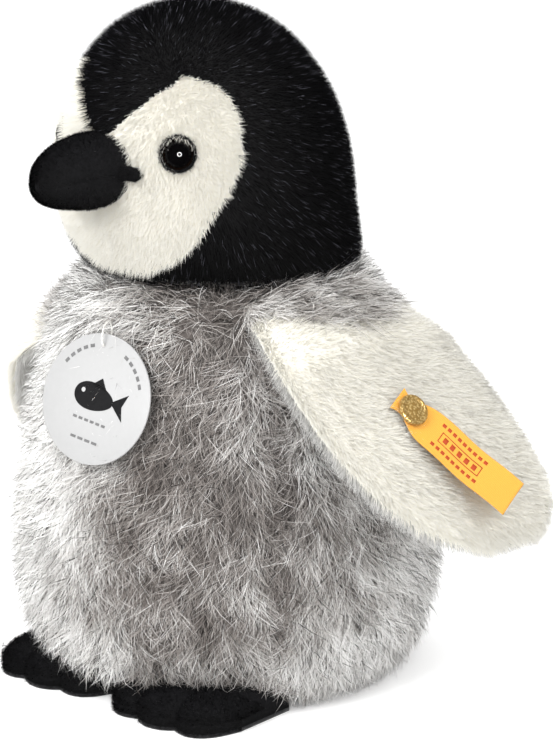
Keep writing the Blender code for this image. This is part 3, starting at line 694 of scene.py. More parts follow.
def make_body_fur(random):
    area_per_hair, mean_radius, top_weight = 0.185, 46.0, 72.0
    tall = NECK_HEIGHT
    count = int(DENSITY * 2 * math.pi * mean_radius * tall / area_per_hair)
    angle = random.random(count) * 2 * math.pi - math.pi
    z = random.random(count) * tall
    low = body_hem(angle)
    weight = body_radius(z) * np.sqrt(1.0 + body_slope(z, 0.5, 3.0) ** 2)
    keep = (random.random(count) < weight / top_weight) & (z > low) & (z < tall - 0.6)
    angle, z = angle[keep], z[keep]
    roots = body_surface(angle, z, BODY_INSET)
    normals = unit(np.stack([np.cos(angle), np.sin(angle), -body_slope(z, 0.3, 2.5)], axis=1))
    combs = comb_body(angle, z, normals, roots)
    tone = fur_tone_and_painted_light(roots, angle, z, random)
    tag_way = np.radians(turned(angle) - TAG_ANGLE) * body_radius(z)
    over_tag = np.exp(-(tag_way / 8.0) ** 2) * np.clip((z - TAG_HEIGHT - TAG_RADIUS + 0.5) / 2.0, 0.0, 1.0)
    collar = np.clip((z - COLLAR_START) / 8.0, 0.0, 1.0) * (1.0 - over_tag)
    stand = 0.75 + 0.4 * over_tag
    lean = 0.6 * (1.0 - 1.1 * collar) + 0.25 * over_tag
    long = BODY_HAIR * (1.0 + 0.35 * over_tag)
    turn = (np.degrees(angle) + 360.0) % 360.0
    for name, (first, last) in BODY_PANELS.items():
        inside = ((turn - first) % 360.0) < (last - first)
        pieces = grow(f"fur_{name}", roots[inside], normals[inside], combs[inside], random, GREY_HAIR,
                      length=long[inside], width=0.15, stand=stand[inside][:, None],
                      lean=lean[inside][:, None], stray=0.24, droop=0.3, swirl=0.42,
                      levels=3, tone=tone[inside], clamp=keep_off_feet, tuft=0.5)
        for piece in pieces:
            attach(piece, "body")


# ---------------------------------------------------------------- the head

HEAD_INSET = 2.3
HEAD_HAIR = {"head": 2.8, "face": 2.5}


def head_panels():
    """Names of the head's cloth pieces with a test for the points that belong to each."""
    def cheek(sign):
        return lambda p: on_cheek(p) & (sign * p[:, 0] >= 0)

    def side(sign):
        return lambda p: ~on_cheek(p) & ~on_gusset(p) & (sign * p[:, 0] >= 0)

    return {"face_left": cheek(1), "face_right": cheek(-1), "head_left": side(1), "head_right": side(-1),
            "head_gusset": on_gusset}


def make_head_skins():
    """One fine dome, cut into its panels by which panel each face's middle lies on."""
    around, levels = 150, 90
    climb = np.sin(np.linspace(0, 0.5 * math.pi, levels))
    heights = NECK_HEIGHT + 0.4 + (HEAD_TOP - 0.05 - NECK_HEIGHT) * climb
    angles = np.linspace(0.0, 2 * math.pi, around, endpoint=False)
    grid_z, grid_a = np.meshgrid(heights, angles, indexing="ij")
    outer = head_surface(grid_a.ravel(), grid_z.ravel(), HEAD_INSET)
    inner = head_surface(grid_a.ravel(), grid_z.ravel(), HEAD_INSET + 0.9)
    cells = [(j * around + i, j * around + (i + 1) % around, (j + 1) * around + (i + 1) % around,
              (j + 1) * around + i) for j in range(levels - 1) for i in range(around)]
    cells = np.array(cells)
    middles = outer[cells].mean(axis=1)
    middles = middles + (HEAD_INSET / 25.0) * (middles - HEAD_MIDDLE)
    for name, test in head_panels().items():
        chosen = cells[test(middles)]
        used = np.unique(chosen)
        index = {old: new for new, old in enumerate(used)}
        count = len(used)
        points = np.concatenate([spin_head(outer[used]), spin_head(inner[used])])
        faces, edges = [], {}
        for cell in chosen:
            a = [index[c] for c in cell]
            faces.append(tuple(a))
            faces.append(tuple(count + c for c in reversed(a)))
            for first, second in zip(a, a[1:] + a[:1]):
                edges[(first, second)] = True
        for first, second in edges:
            if (second, first) not in edges:
                faces.append((second, first, count + first, count + second))
        material = CREAM_SKIN if name.startswith("face") else BLACK_SKIN
        skin = mesh_object(f"skin_{name}", points, faces, [material])
        face_outward(skin)
        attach(skin, "head")
        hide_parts(name)


def head_samples(random, per_mm2):
    """Roots spread evenly over the head by area, as angle and height."""
    fine = np.linspace(NECK_HEIGHT + 0.3, HEAD_TOP - 0.01, 4000)
    radius, _ = head_circle(fine)
    arc = np.hypot(np.gradient(radius, fine), 1.0) * radius
    total = np.cumsum(arc) * (fine[1] - fine[0]) * 2 * math.pi
    count = int(DENSITY * per_mm2 * total[-1])
    z = np.interp(random.random(count) * total[-1], total, fine)
    angle = random.random(count) * 2 * math.pi
    return angle, z


def head_normals(points):
    """Outward normals of the head at points not yet turned, from its sections."""
    z = points[:, 2]
    _, forward = head_circle(z)
    higher, lower = np.minimum(z + 0.05, HEAD_TOP - 1e-3), z - 0.05
    ahead, ahead_forward = head_circle(higher)
    behind, behind_forward = head_circle(lower)
    run = np.maximum(higher - lower, 1e-6)
    slope = (ahead - behind) / run
    shift = (ahead_forward - behind_forward) / run
    way = np.stack([points[:, 0], points[:, 1] - forward], axis=1)
    way = way / np.maximum(np.linalg.norm(way, axis=1, keepdims=True), 1e-9)
    return unit(np.stack([way[:, 0], way[:, 1], -(slope + way[:, 1] * shift)], axis=1))


def near_eye(points, sign, reach):
    """Which head points, not yet turned, lie within reach of an eye's middle."""
    eye = eye_place(sign)
    return np.linalg.norm(points - eye, axis=1) < reach


def eye_place(sign):
    point = head_surface(math.radians(EYE_ANGLE), EYE_HEIGHT)
    return point * np.array([sign, 1.0, 1.0])


def under_beak(points):
    """Which head points, not yet turned, the beak covers."""
    x, z = points[:, 0] / (BEAK_HALF_WIDTH - 0.6), (points[:, 2] - BEAK_HEIGHT) / (BEAK_HALF_HEIGHT - 0.5)
    return (x * x + z * z < 1.0) & (points[:, 1] < HEAD_MIDDLE[1])


def make_head_fur(random):
    angle, z = head_samples(random, 12.0)
    surface = head_surface(angle, z)
    keep = ~under_beak(surface) & ~near_eye(surface, 1, EYE_CLEARING) & ~near_eye(surface, -1, EYE_CLEARING)
    angle, z, surface = angle[keep], z[keep], surface[keep]
    roots = head_surface(angle, z, HEAD_INSET)
    normals = head_normals(surface)
    down = np.array([0.0, 0.55, -1.0])
    combs = unit(down - (normals @ down)[:, None] * normals)
    round_way = np.cross(normals, combs)
    combs = unit(combs + 0.4 * patchy(surface, 12.0, 2.2)[:, None] * round_way)
    wobble = np.stack([0.5 * patchy(surface, 2.0, 4.0), 0.3 * patchy(surface, 2.0, 9.0),
                       0.5 * patchy(surface, 2.0, 14.0)], axis=1)
    tested = surface + wobble
    spun, spun_normals, spun_combs = spin_head(roots), spin_head(normals), spin_head(combs)
    for name, test in head_panels().items():
        face = name.startswith("face")
        inside = test(tested)
        inside &= random.random(len(inside)) < (1.0 if face else 0.55)
        framing = near_eye(surface[inside], -1, EYE_CLEARING + 2.6)
        pieces = grow(f"fur_{name}", spun[inside], spun_normals[inside], spun_combs[inside], random,
                      CREAM_HAIR if face else BLACK_HAIR,
                      length=HEAD_HAIR["face" if face else "head"] * (1.0 + 0.3 * framing), width=0.14,
                      stand=1.0, lean=0.35, stray=0.14, droop=0.1, swirl=0.08, spread=0.1, levels=0, tuft=0.12)
        for piece in pieces:
            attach(piece, "head")


# ---------------------------------------------------------------- eyes, beak and mouth

def head_frame(sign):
    """Frame at an eye, local Z outward, turned with the head."""
    point = Vector(eye_place(sign))
    outward = point - Vector((0.0, -7.0, 122.0))
    return frame_from(HEAD_SPIN @ point, HEAD_SPIN @ outward)


def make_eyes(random):
    for side, sign in (("left", 1.0), ("right", -1.0)):
        place = head_frame(sign)
        seat = EYE_SEAT[side]
        profile = [(1.0, -6.2), (1.0, seat), (EYE_RADIUS, seat)]
        steps = 14
        profile += [(EYE_RADIUS * math.cos(a), seat + 0.3 + EYE_DOME * math.sin(a))
                    for a in np.linspace(0.0, 0.5 * math.pi, steps, endpoint=False)]
        profile.append((0.0, seat + 0.3 + EYE_DOME))
        iris = [1 if k < 8 else 0 for k in range(len(profile) - 1)]
        eye = lathe(f"glass_eye_{side}", profile, place, 48, [EYE_BLACK, EYE_BROWN], iris)
        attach(eye, "head")
        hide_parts(f"eye_{side}")
        sunk = seat - EYE_SEAT["left"]
        # A dark velour ring and short dark pile round each eye darken its rim.
        rim = [(3.5, -3.4), (3.5, -1.5 + sunk), (3.7, -1.2 + sunk), (3.95, -1.2 + sunk), (4.1, -1.6 + sunk),
               (4.1, -3.4)]
        dark_ring = lathe(f"eye_dark_ring_{side}", rim, place, 48, [VELOUR])
        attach(dark_ring, "head")
        count = int(1100 * max(DENSITY, 0.5))
        turn = random.random(count) * 2 * math.pi
        reach = 3.65 + 0.35 * random.random(count)
        ring = np.stack([reach * np.cos(turn), reach * np.sin(turn), np.full(count, -1.5 + sunk)], axis=1)
        rotation = np.array(place.to_3x3())
        middle = np.array(place.translation)
        way = np.stack([np.cos(turn), np.sin(turn), np.zeros(count)], axis=1) @ rotation.T
        up = np.tile(rotation[:, 2], (count, 1))
        dark_pile = grow(f"eye_lashes_{side}", ring @ rotation.T + middle, up, way, random, VELOUR_HAIR,
                      length=1.2, width=0.12, stand=1.0, lean=0.3, stray=0.3, droop=0.0, swirl=0.3, levels=2)
        for piece in dark_pile:
            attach(piece, "head")


def beak_point(angle, reach, inset=0.0):
    """The beak's surface, not yet turned; angle 0 is the chick's left, 90 degrees the top."""
    swell = np.clip(1.0 - reach ** 2.6, 0.0, 1.0) ** (1.0 / 2.2)
    across = (BEAK_HALF_WIDTH - inset) * (0.12 * (1.0 - reach) + 0.88 * swell)
    tall = (BEAK_HALF_HEIGHT - inset) * (0.04 * (1.0 - reach) + 0.96 * swell)
    cosine, sine = np.cos(angle), np.sin(angle)
    x = across * np.sign(cosine) * np.abs(cosine) ** 0.92
    low = np.where(sine < 0.0, 1.0 + 0.07 * np.exp(-((reach - 0.25) / 0.2) ** 2), 1.0)
    z = BEAK_HEIGHT - 2.0 * reach ** 2 + tall * low * np.sign(sine) * np.abs(sine) ** 0.92
    radius, forward = head_circle(z)
    root = forward - np.sqrt(np.maximum(radius ** 2 - x ** 2, 1.0)) + 2.2
    y = root + (BEAK_TIP + inset - root) * reach
    pinch = 0.45 * np.exp(-((z - BEAK_HEIGHT + 0.8) / 0.9) ** 2) * np.abs(cosine) * (1.0 - reach) ** 0.5
    return np.stack([x - np.sign(x) * pinch, y, z], axis=-1)


def make_beak(random):
    for part, first, last in (("upper", 0.0, 180.0), ("lower", 180.0, 360.0)):
        def surface(inset):
            def point(u, v):
                angle = math.radians(first + (last - first) * u)
                reach = 0.9999 * math.sin(0.5 * math.pi * v)
                return spin_head(beak_point(np.float64(angle), np.float64(reach), inset))
            return point
        skin = shell(f"beak_skin_{part}", surface(0.0), surface(1.2), 56, 40, VELOUR)
        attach(skin, "head")
        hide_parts(f"beak_{part}")
        count = int(DENSITY * 11000)
        angle = np.radians(first + (last - first) * random.random(count))
        reach = np.sin(0.5 * math.pi * random.random(count) ** 0.8) * 0.995
        roots = beak_point(angle, reach, 0.05)
        step = 0.01
        slope_a = beak_point(angle + step, reach) - beak_point(angle - step, reach)
        slope_r = beak_point(angle, np.minimum(reach + step, 0.999)) - beak_point(angle, reach - step)
        normals = unit(np.cross(slope_r, slope_a))
        away = roots - np.array([0.0, -45.0, BEAK_HEIGHT])
        normals *= np.sign((normals * away).sum(axis=1))[:, None]
        combs = unit(slope_r)
        for piece in grow(f"beak_pile_{part}", spin_head(roots), spin_head(normals), spin_head(combs), random,
                          VELOUR_HAIR, length=0.6, width=0.16, stand=1.0, lean=0.5, stray=0.3, droop=0.0,
                          swirl=0.1, levels=1):
            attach(piece, "head")


def make_mouth(random):
    """The dark points where the velour runs back from the beak onto the cheeks."""
    for side, sign in (("left", 1.0), ("right", -1.0)):
        def stitch(inset):
            def point(u, v):
                taper = math.sqrt(max(0.02, 1.0 - max(0.0, (u - 0.8) / 0.2) ** 2))
                half = (1.5 + 2.6 * max(0.0, 1.0 - u / 0.6) ** 2) * taper
                z = BEAK_HEIGHT + 0.4 - 0.5 * u + half * (2.0 * v - 1.0)
                angle = math.radians(-79.0 + 11.6 * u)
                crown = 0.5 * (1.0 - (2.0 * v - 1.0) ** 2) * taper
                place = head_surface(angle, z, inset - crown if inset < 1.0 else inset)
                return spin_head(place * np.array([sign, 1.0, 1.0]))
            return point
        piece = shell(f"mouth_corner_{side}", stitch(-0.35), stitch(2.2), 20, 14, VELOUR)
        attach(piece, "head")
        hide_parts(f"mouth_stitch_{side}")
        count = int(DENSITY * 900)
        u, v = random.random(count), random.random(count)
        roots = np.array([stitch(-0.3)(a, b) for a, b in zip(u, v)])
        normals = unit(roots - spin_head(np.array([[0.0, -8.0, 123.0]])))
        down = np.array([0.0, 0.6, -0.6])
        combs = unit(down - (normals @ down)[:, None] * normals)
        for fuzz in grow(f"mouth_pile_{side}", roots, normals, combs, random, VELOUR_HAIR, length=0.8,
                         width=0.15, stand=1.0, lean=0.5, stray=0.4, droop=0.0, swirl=0.1, levels=1):
            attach(fuzz, "head")


# ---------------------------------------------------------------- the wings

class Wing:
    """Axes and surfaces of a wing: s runs from shoulder to tip, t across it toward the back."""

    def __init__(self, side):
        self.side = side
        self.sign = 1.0 if side == "left" else -1.0
        self.body = f"{side}_wing"
        droop = math.radians(WING_DROOP[side])
        along = Vector((self.sign * math.cos(droop), WING_SWEEP[side], -math.sin(droop))).normalized()
        across = Vector((0.0, 1.0, WING_ROLL[side]))
        across = (across - across.dot(along) * along).normalized()
        outward = along.cross(across) * self.sign
        outward *= 1.0 if outward.z > 0 else -1.0
        self.along, self.across, self.outward = (np.array(v) for v in (along, across, outward))
        self.root = WING_ROOT * np.array([self.sign, 1.0, 1.0])

    @staticmethod
    def half_width(s):
        s = np.asarray(s, float)
        swell = 3.0 * np.sin(math.pi * np.clip(s / (WING_LENGTH - 2.0), 0.0, 1.0))
        full = np.clip(1.0 - (np.maximum(s, 0.0) / (WING_LENGTH + 0.6)) ** 7, 0.0, 1.0)
        return (WING_HALF_WIDTH + swell) * np.sqrt(full)

    @staticmethod
    def middle(s):
        return WING_START + WING_TRAIL * (np.maximum(s, 0.0) / WING_LENGTH) ** 1.6

    @staticmethod
    def plump(s, share):
        ends = np.clip(s / 26.0, 0.0, 1.0) ** 0.7 * (1.0 - np.clip(s / (WING_LENGTH + 0.6), 0, 1) ** 8)
        return np.clip((1.0 - np.abs(share) ** 4) * ends, 0.0, 1.0) ** 0.5

    def at(self, s, share, face, inset):
        """A point of the wing's skin: face 1 outside, -1 inside; near the shoulder it runs into the body."""
        s, share = np.broadcast_arrays(np.asarray(s, float), np.asarray(share, float))
        near = np.clip(1.0 - s / WING_LENGTH, 0.0, 1.0)
        wrap = SHOULDER_WRAP * (1.0 - share ** 2) * near ** 1.4 + ROOT_LIFT * near
        half = 0.25 + (WING_HALF_THICKNESS - 0.6 - inset) * self.plump(s, share)
        t = self.middle(s) + share * (self.half_width(s) - 0.8 * inset)
        offset = (wrap + face * half)[..., None]
        points = self.root + s[..., None] * self.along + t[..., None] * self.across + offset * self.outward
        tuck = np.clip(1.0 - s / 15.0, 0.0, 1.0)
        tuck = (tuck * tuck * (3.0 - 2.0 * tuck))[..., None]
        reach = np.maximum(np.linalg.norm(points[..., :2], axis=-1, keepdims=True), 1e-6)
        wanted = body_radius(np.clip(points[..., 2], 0.0, NECK_HEIGHT - 0.5))[..., None] - 2.2 + 0.5 * face
        flat = points[..., :2] / reach * (reach + tuck * (wanted - reach))
        return np.concatenate([flat, points[..., 2:]], axis=-1)

    def grey_line(self, share):
        """How far from the shoulder the grey shoulder fur reaches."""
        return 2.5 + 8.0 * (1.0 - share ** 2)


def wing_piece(obj, slot):
    """Bakes a piece's placement into its mesh; the piece is left unattached."""
    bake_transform(obj)


def make_wing(side, random):
    wing = Wing(side)
    faces = ((1, "outer", f"wing_outer_{side}", CREAM_SKIN, "cream_plush"),
             (-1, "inner", f"wing_inner_{side}", LINING_SKIN, "wing_lining"))
    for face, label, node, material, slot in faces:
        def surface(depth):
            def point(u, v):
                s = 0.2 + (WING_LENGTH - 0.7) * math.sin(0.5 * math.pi * v) ** 0.9
                share = math.sin(0.5 * math.pi * (2.0 * u - 1.0))
                if depth:
                    share *= 0.985
                return wing.at(s, share, face if not depth else 0.1 * face, WING_INSET)
            return point
        skin = shell(f"wing_skin_{label}_{side}", surface(0), surface(1), 44, 44, material)
        wing_piece(skin, slot)
        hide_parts(node)
        make_wing_fur(wing, face, label, random)


def make_wing_fur(wing, face, label, random):
    per_mm2 = 8.5 if face > 0 else 4.5
    count = int(DENSITY * per_mm2 * WING_LENGTH * 2 * WING_HALF_WIDTH)
    s = random.random(count) * (WING_LENGTH - 0.4)
    share = 2.0 * random.random(count) - 1.0
    rim = random.random(count) < 0.16
    share = np.where(rim, np.sign(share) * (1.0 - 0.07 * random.random(count) ** 2), share)
    tipped = random.random(count) < 0.04
    s = np.where(tipped, WING_LENGTH - 0.6 - 2.0 * random.random(count) ** 2, s)
    keep = random.random(count) < wing.half_width(s) / (WING_HALF_WIDTH + 3.0) + 0.25 * tipped
    s, share = s[keep], share[keep]
    step_s, step_share = 0.3, 0.01
    roots = wing.at(s, share, face, WING_INSET)
    way_s = wing.at(s + step_s, share, face, WING_INSET) - wing.at(s - step_s, share, face, WING_INSET)
    high, low = np.minimum(share + step_share, 0.9995), np.maximum(share - step_share, -0.9995)
    way_t = wing.at(s, high, face, WING_INSET) - wing.at(s, low, face, WING_INSET)
    normals = unit(np.cross(way_s, way_t))
    normals *= np.sign(normals @ (face * wing.outward))[:, None]
    edge = np.clip((np.abs(share) - 0.9) / 0.1, 0.0, 1.0)[:, None]
    tip = np.clip((s - WING_LENGTH + 7.0) / 7.0, 0.0, 1.0)[:, None]
    outwards = edge * np.sign(share)[:, None] * wing.across + tip * wing.along
    normals = unit(normals + 0.9 * outwards)
    comb = wing.along + 0.18 * wing.across
    combs = unit(comb - (normals @ comb)[:, None] * normals)
    side_way = np.cross(normals, combs)
    combs = unit(combs + 0.5 * patchy(roots, 11.0, 6.6)[:, None] * side_way)
    grey = (face > 0) & (s < wing.grey_line(share) + 0.7 * random.normal(size=len(s)))
    if face > 0:
        shades = grow(f"shoulder_fur_{wing.side}", roots[grey], normals[grey], combs[grey], random, GREY_HAIR,
                      length=BODY_HAIR, width=0.17, stand=0.7, lean=0.65, stray=0.22, droop=0.3, swirl=0.35,
                      levels=3,
                      tone=np.clip(0.62 + 0.25 * patchy(roots[grey], 6.0, 1.0)
                                   + 0.5 * (random.random(int(grey.sum())) - 0.5), 0.0, 1.0), tuft=0.4)
        for piece in shades:
            wing_piece(piece, "grey_plush")
    white = ~grey
    pieces = grow(f"wing_pile_{label}_{wing.side}", roots[white], normals[white], combs[white], random,
                  CREAM_HAIR if face > 0 else LINING_HAIR, length=3.3 if face > 0 else 3.0, width=0.15,
                  stand=0.85, lean=0.5, stray=0.15, droop=0.12, swirl=0.12, spread=0.12, levels=0, tuft=0.15)
    for piece in pieces:
        wing_piece(piece, "cream_plush" if face > 0 else "wing_lining")


# ---------------------------------------------------------------- the feet

def make_foot(side, random):
    sign = 1.0 if side == "left" else -1.0
    inward, backward = (0.0, 0.0) if side == "left" else RIGHT_FOOT_SHIFT

    def place(height):
        def point(u, v):
            x = FOOT_HALF_WIDTH * math.sin(0.5 * math.pi * (2.0 * u - 1.0))
            reach = math.sin(0.5 * math.pi * v)
            y = FOOT_REAR + (float(toe_line(x)) + backward - FOOT_REAR) * reach
            return np.array([sign * (FOOT_MIDDLE + x) + inward, y, height(x, reach)])
        return point

    def top(x, reach):
        full = float(foot_top(x, reach))
        return full + 0.25 * noise.noise(Vector((x, 30.0 * reach, 5.0 * sign)) / 3.0)

    upper = shell(f"foot_skin_{side}", place(top), place(lambda x, r: 0.9), 64, 36, VELOUR)
    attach(upper, "body")
    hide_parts(f"foot_top_{side}")
    sole = shell(f"foot_under_{side}", place(lambda x, r: 0.9), place(lambda x, r: 0.02), 48, 12, SOLE)
    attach(sole, "body")
    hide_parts(f"foot_sole_{side}")
    count = int(DENSITY * 9000)
    x = FOOT_HALF_WIDTH * np.sin(0.5 * math.pi * (2.0 * random.random(count) - 1.0))
    reach = np.sin(0.5 * math.pi * (0.35 + 0.65 * random.random(count)))
    y = FOOT_REAR + (toe_line(x) + backward - FOOT_REAR) * reach
    z = foot_top(x, reach)
    front = random.random(count) < 0.3
    z = np.where(front, 0.4 + (z - 0.4) * random.random(count), z)
    reach = np.where(front, 1.0, reach)
    y = np.where(front, toe_line(x) + backward, y)
    roots = np.stack([sign * (FOOT_MIDDLE + x) + inward, y, z], axis=1)
    step = 0.02
    slope_x = (foot_top(x + 0.2, reach) - foot_top(x - 0.2, reach)) / 0.4
    held = np.minimum(reach, 0.97)
    slope_y = (foot_top(x, held + step) - foot_top(x, held - step)) / (2 * step)
    slope_y = slope_y / (FOOT_REAR - FOOT_FRONT)
    normals = np.stack([-sign * slope_x, slope_y, np.ones(count)], axis=1)
    ahead = np.stack([sign * x / 30.0, -np.ones(count), np.full(count, 0.2)], axis=1)
    normals = np.where(front[:, None], ahead, normals)
    normals = unit(np.clip(normals, -4.0, 4.0))
    forward = np.array([0.0, -1.0, -0.3])
    combs = unit(forward - (normals @ forward)[:, None] * normals)
    for piece in grow(f"foot_pile_{side}", roots, normals, combs, random, VELOUR_HAIR, length=0.9, width=0.17,
                      stand=1.0, lean=0.5, stray=0.4, droop=0.0, swirl=0.1, levels=1,
                      clamp=lambda p: np.concatenate([p[..., :2], np.maximum(p[..., 2:], 0.1)], axis=-1)):
        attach(piece, "body")


# ---------------------------------------------------------------- tag, label and button

def tag_frame():
    angle = math.radians(-90.0 + TAG_TURN)
    lean = math.radians(TAG_LEAN)
    outward = Vector((math.cos(angle) * math.cos(lean), math.sin(angle) * math.cos(lean), math.sin(lean)))
    touch = Vector(body_surface(math.radians(TAG_ANGLE), TAG_HEIGHT))
    return frame_from(touch + 1.3 * outward, outward)


def flat_shape(name, outline, matrix, low, high, material):
    """A thin flat shape from a list of (x, y), with its sides."""
    count = len(outline)
    points = [matrix @ Vector((x, y, low)) for x, y in outline]
    points += [matrix @ Vector((x, y, high)) for x, y in outline]
    faces = [tuple(range(count - 1, -1, -1)), tuple(range(count, 2 * count))]
    faces += [(i, (i + 1) % count, count + (i + 1) % count, count + i) for i in range(count)]
    obj = mesh_object(name, points, faces, [material], smooth=False)
    face_outward(obj)
    return obj


def join(name, objects):
    """Joins flat prints into one object."""
    with bpy.context.temp_override(active_object=objects[0], selected_editable_objects=objects,
                                   object=objects[0], selected_objects=objects):
        bpy.ops.object.join()
    objects[0].name = name
    return objects[0]


def make_tag():
    place = tag_frame()
    thick, edge = 0.6, 0.12
    profile = [(TAG_RADIUS - edge, 0.0), (TAG_RADIUS, edge), (TAG_RADIUS, thick - edge),
               (TAG_RADIUS - edge, thick)]
    card = lathe("tag_disc", profile, place, 128, [CARD])
    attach(card, "chest_tag")
    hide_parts("chest_tag")

    tilt = Matrix.Rotation(math.radians(-9.0), 4, "Z")
    face = place @ tilt
    low, high = thick + 0.005, thick + 0.03
    body = []
    steps = 40
    for k in range(steps):
        a = 2 * math.pi * k / steps
        body.append((5.6 * math.cos(a) - 0.6, 3.1 * math.sin(a) * (1.0 - 0.18 * math.cos(a)) + 0.3))
    fish = flat_shape("tag_fish", body, face, low, high, INK)
    tail = flat_shape("tag_tail", [(4.2, 0.4), (8.6, 3.5), (7.5, 0.3), (8.6, -2.9)], face, low, high, INK)
    fin = flat_shape("tag_fin", [(-2.0, 2.9), (0.4, 5.0), (2.4, 2.4)], face, low, high, INK)
    fish = join("tag_print", [fish, tail, fin])
    eye = flat_shape("tag_print_eye", [(-3.9 + 0.55 * math.cos(a), 1.1 + 0.55 * math.sin(a))
                                       for a in np.linspace(0, 2 * math.pi, 16, endpoint=False)],
                     face, high + 0.005, high + 0.02, CARD)
    bars = []
    for row, (y, marks, length) in enumerate(((-5.2, 6, 1.1), (-9.6, 4, 1.5))):
        for k in range(marks):
            x = (k - 0.5 * (marks - 1)) * (length + 0.55)
            outline = [(x - 0.5 * length, y - 0.3), (x + 0.5 * length, y - 0.3),
                       (x + 0.5 * length, y + 0.3), (x - 0.5 * length, y + 0.3)]
            bars.append(flat_shape(f"tag_bar_{row}_{k}", outline, face, low, high, PALE_INK))
    for side in (-1.0, 1.0):
        for k in range(5):
            a = math.radians(90.0 + side * (24.0 + 9.0 * k))
            x, y = 12.2 * math.cos(a), 12.2 * math.sin(a)
            radial, round_way = np.array([math.cos(a), math.sin(a)]), np.array([-math.sin(a), math.cos(a)])
            outline = [tuple(np.array([x, y]) + p * round_way + q * radial)
                       for p, q in ((-0.6, -0.4), (0.6, -0.4), (0.6, 0.4), (-0.6, 0.4))]
            bars.append(flat_shape(f"tag_mark_{side}_{k}", outline, face, low, high, PALE_INK))
    for piece in (fish, eye, join("tag_print_bars", bars)):
        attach(piece, "chest_tag")


def label_frame(wing):
    s, t = BUTTON_AT
    share = (t - wing.middle(s)) / wing.half_width(s)
    near = 1.0 - s / WING_LENGTH
    wrap = SHOULDER_WRAP * (1.0 - share ** 2) * near ** 1.4 + ROOT_LIFT * near
    full = (1.0 - abs(share) ** 2.6) * (1.0 - (s / (WING_LENGTH + 0.6)) ** 5)
    lift = wrap + WING_HALF_THICKNESS * full + 0.6
    point = wing.root + s * wing.along + t * wing.across + lift * wing.outward
    tipward = 0.89 * wing.along + 0.455 * wing.across
    outward = wing.outward + 0.16 * wing.along - 0.2 * wing.across
    return frame_from(point, Vector(outward), Vector(tipward))


def make_label():
    wing = Wing("left")
    place = label_frame(wing)
    fold_end, start, end = 4.6, -4.4, RIBBON_LENGTH - 4.4
    thick = 0.32

    def rise(y):
        return 0.35 + 0.016 * max(0.0, y) ** 1.5 + 0.25 * math.sin(0.35 * max(0.0, y - 4.0))

    def tape(height):
        def point(u, v):
            y = start + (end - start) * v
            squeeze = 1.0 - 0.5 * math.exp(-((y + 2.0) / 4.0) ** 2)
            x = RIBBON_WIDTH * (u - 0.5) * squeeze
            cup = 0.25 * (2.0 * u - 1.0) ** 2 * min(1.0, max(0.0, y) / 12.0)
            return np.array(place @ Vector((x, y, rise(y) + height + cup)))
        return point

    label = shell("label_tape", tape(thick), tape(0.0), 24, 60, RIBBON)
    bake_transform(label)
    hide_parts("label_fold", "label_ribbon")

    marks = []

    def printed(x0, y0, x1, y1):
        """A thin strip of print that follows the tape."""
        def strip(height):
            surface = tape(height)
            return lambda u, v: surface((x0 + (x1 - x0) * u) / RIBBON_WIDTH + 0.5,
                                        (y0 + (y1 - y0) * v - start) / (end - start))
        points, faces = layers(strip(thick + 0.02), strip(thick + 0.045), 2, 4)
        piece = mesh_object(f"label_mark_{len(marks)}", points, faces, [PRINT])
        face_outward(piece)
        marks.append(piece)

    first, last, half = 8.5, 20.5, 1.5
    line = 0.22
    printed(-half, first, -half + line, last)
    printed(half - line, first, half, last)
    printed(-half, first, half, first + line)
    printed(-half, last - line, half, last)
    for k in range(5):
        y = first + 1.1 + 2.15 * k
        printed(-0.75, y, 0.75, y + 1.15)
    for side in (-1.0, 1.0):
        for k in range(9):
            y = first - 1.0 + 1.55 * k
            printed(side * 3.1 - 0.45, y, side * 3.1 + 0.45, y + 0.95)
    label_print = join("label_print", marks)
    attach(label_print, "label")

    radius = 3.6
    profile = [(0.8, -3.6), (0.8, 0.9), (radius - 0.3, 0.9), (radius, 1.15), (radius + 0.05, 1.7),
               (radius - 0.35, 2.05), (radius - 0.8, 1.95), (radius - 1.0, 1.7), (1.8, 2.0), (0.0, 2.15)]
    button = lathe("brass_button", profile, place, 64, [BRASS])
    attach(button, "left_wing")
    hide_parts("label_button")


def make_tag_loop():
    """The thread loop through the tag's top edge, as a two-ply twist."""
    place = tag_frame()
    hang, steps, ply = 2.9, 48, 0.15
    points, faces = [], []
    for strand in (0.0, math.pi):
        base = len(points)
        for i in range(steps):
            a = 2 * math.pi * i / steps
            heart = Vector((0.0, TAG_RADIUS + hang * math.cos(a) * 0.98, 0.3 + 1.75 * math.sin(a)))
            away = Vector((0.0, math.cos(a), math.sin(a)))
            twist = 9.0 * a + strand
            middle = heart + 0.14 * (math.cos(twist) * away + Vector((math.sin(twist), 0.0, 0.0)))
            for j in range(6):
                b = 2 * math.pi * j / 6
                points.append(place @ (middle + ply * (math.cos(b) * away + Vector((math.sin(b), 0.0, 0.0)))))
        for i in range(steps):
            for j in range(6):
                k, m = (i + 1) % steps, (j + 1) % 6
                faces.append((base + i * 6 + j, base + i * 6 + m, base + k * 6 + m, base + k * 6 + j))
    loop = mesh_object("tag_thread", points, faces, [THREAD])
    face_outward(loop)
    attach(loop, "body")
    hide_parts("tag_loop")


# ---------------------------------------------------------------- fillings and hidden pieces

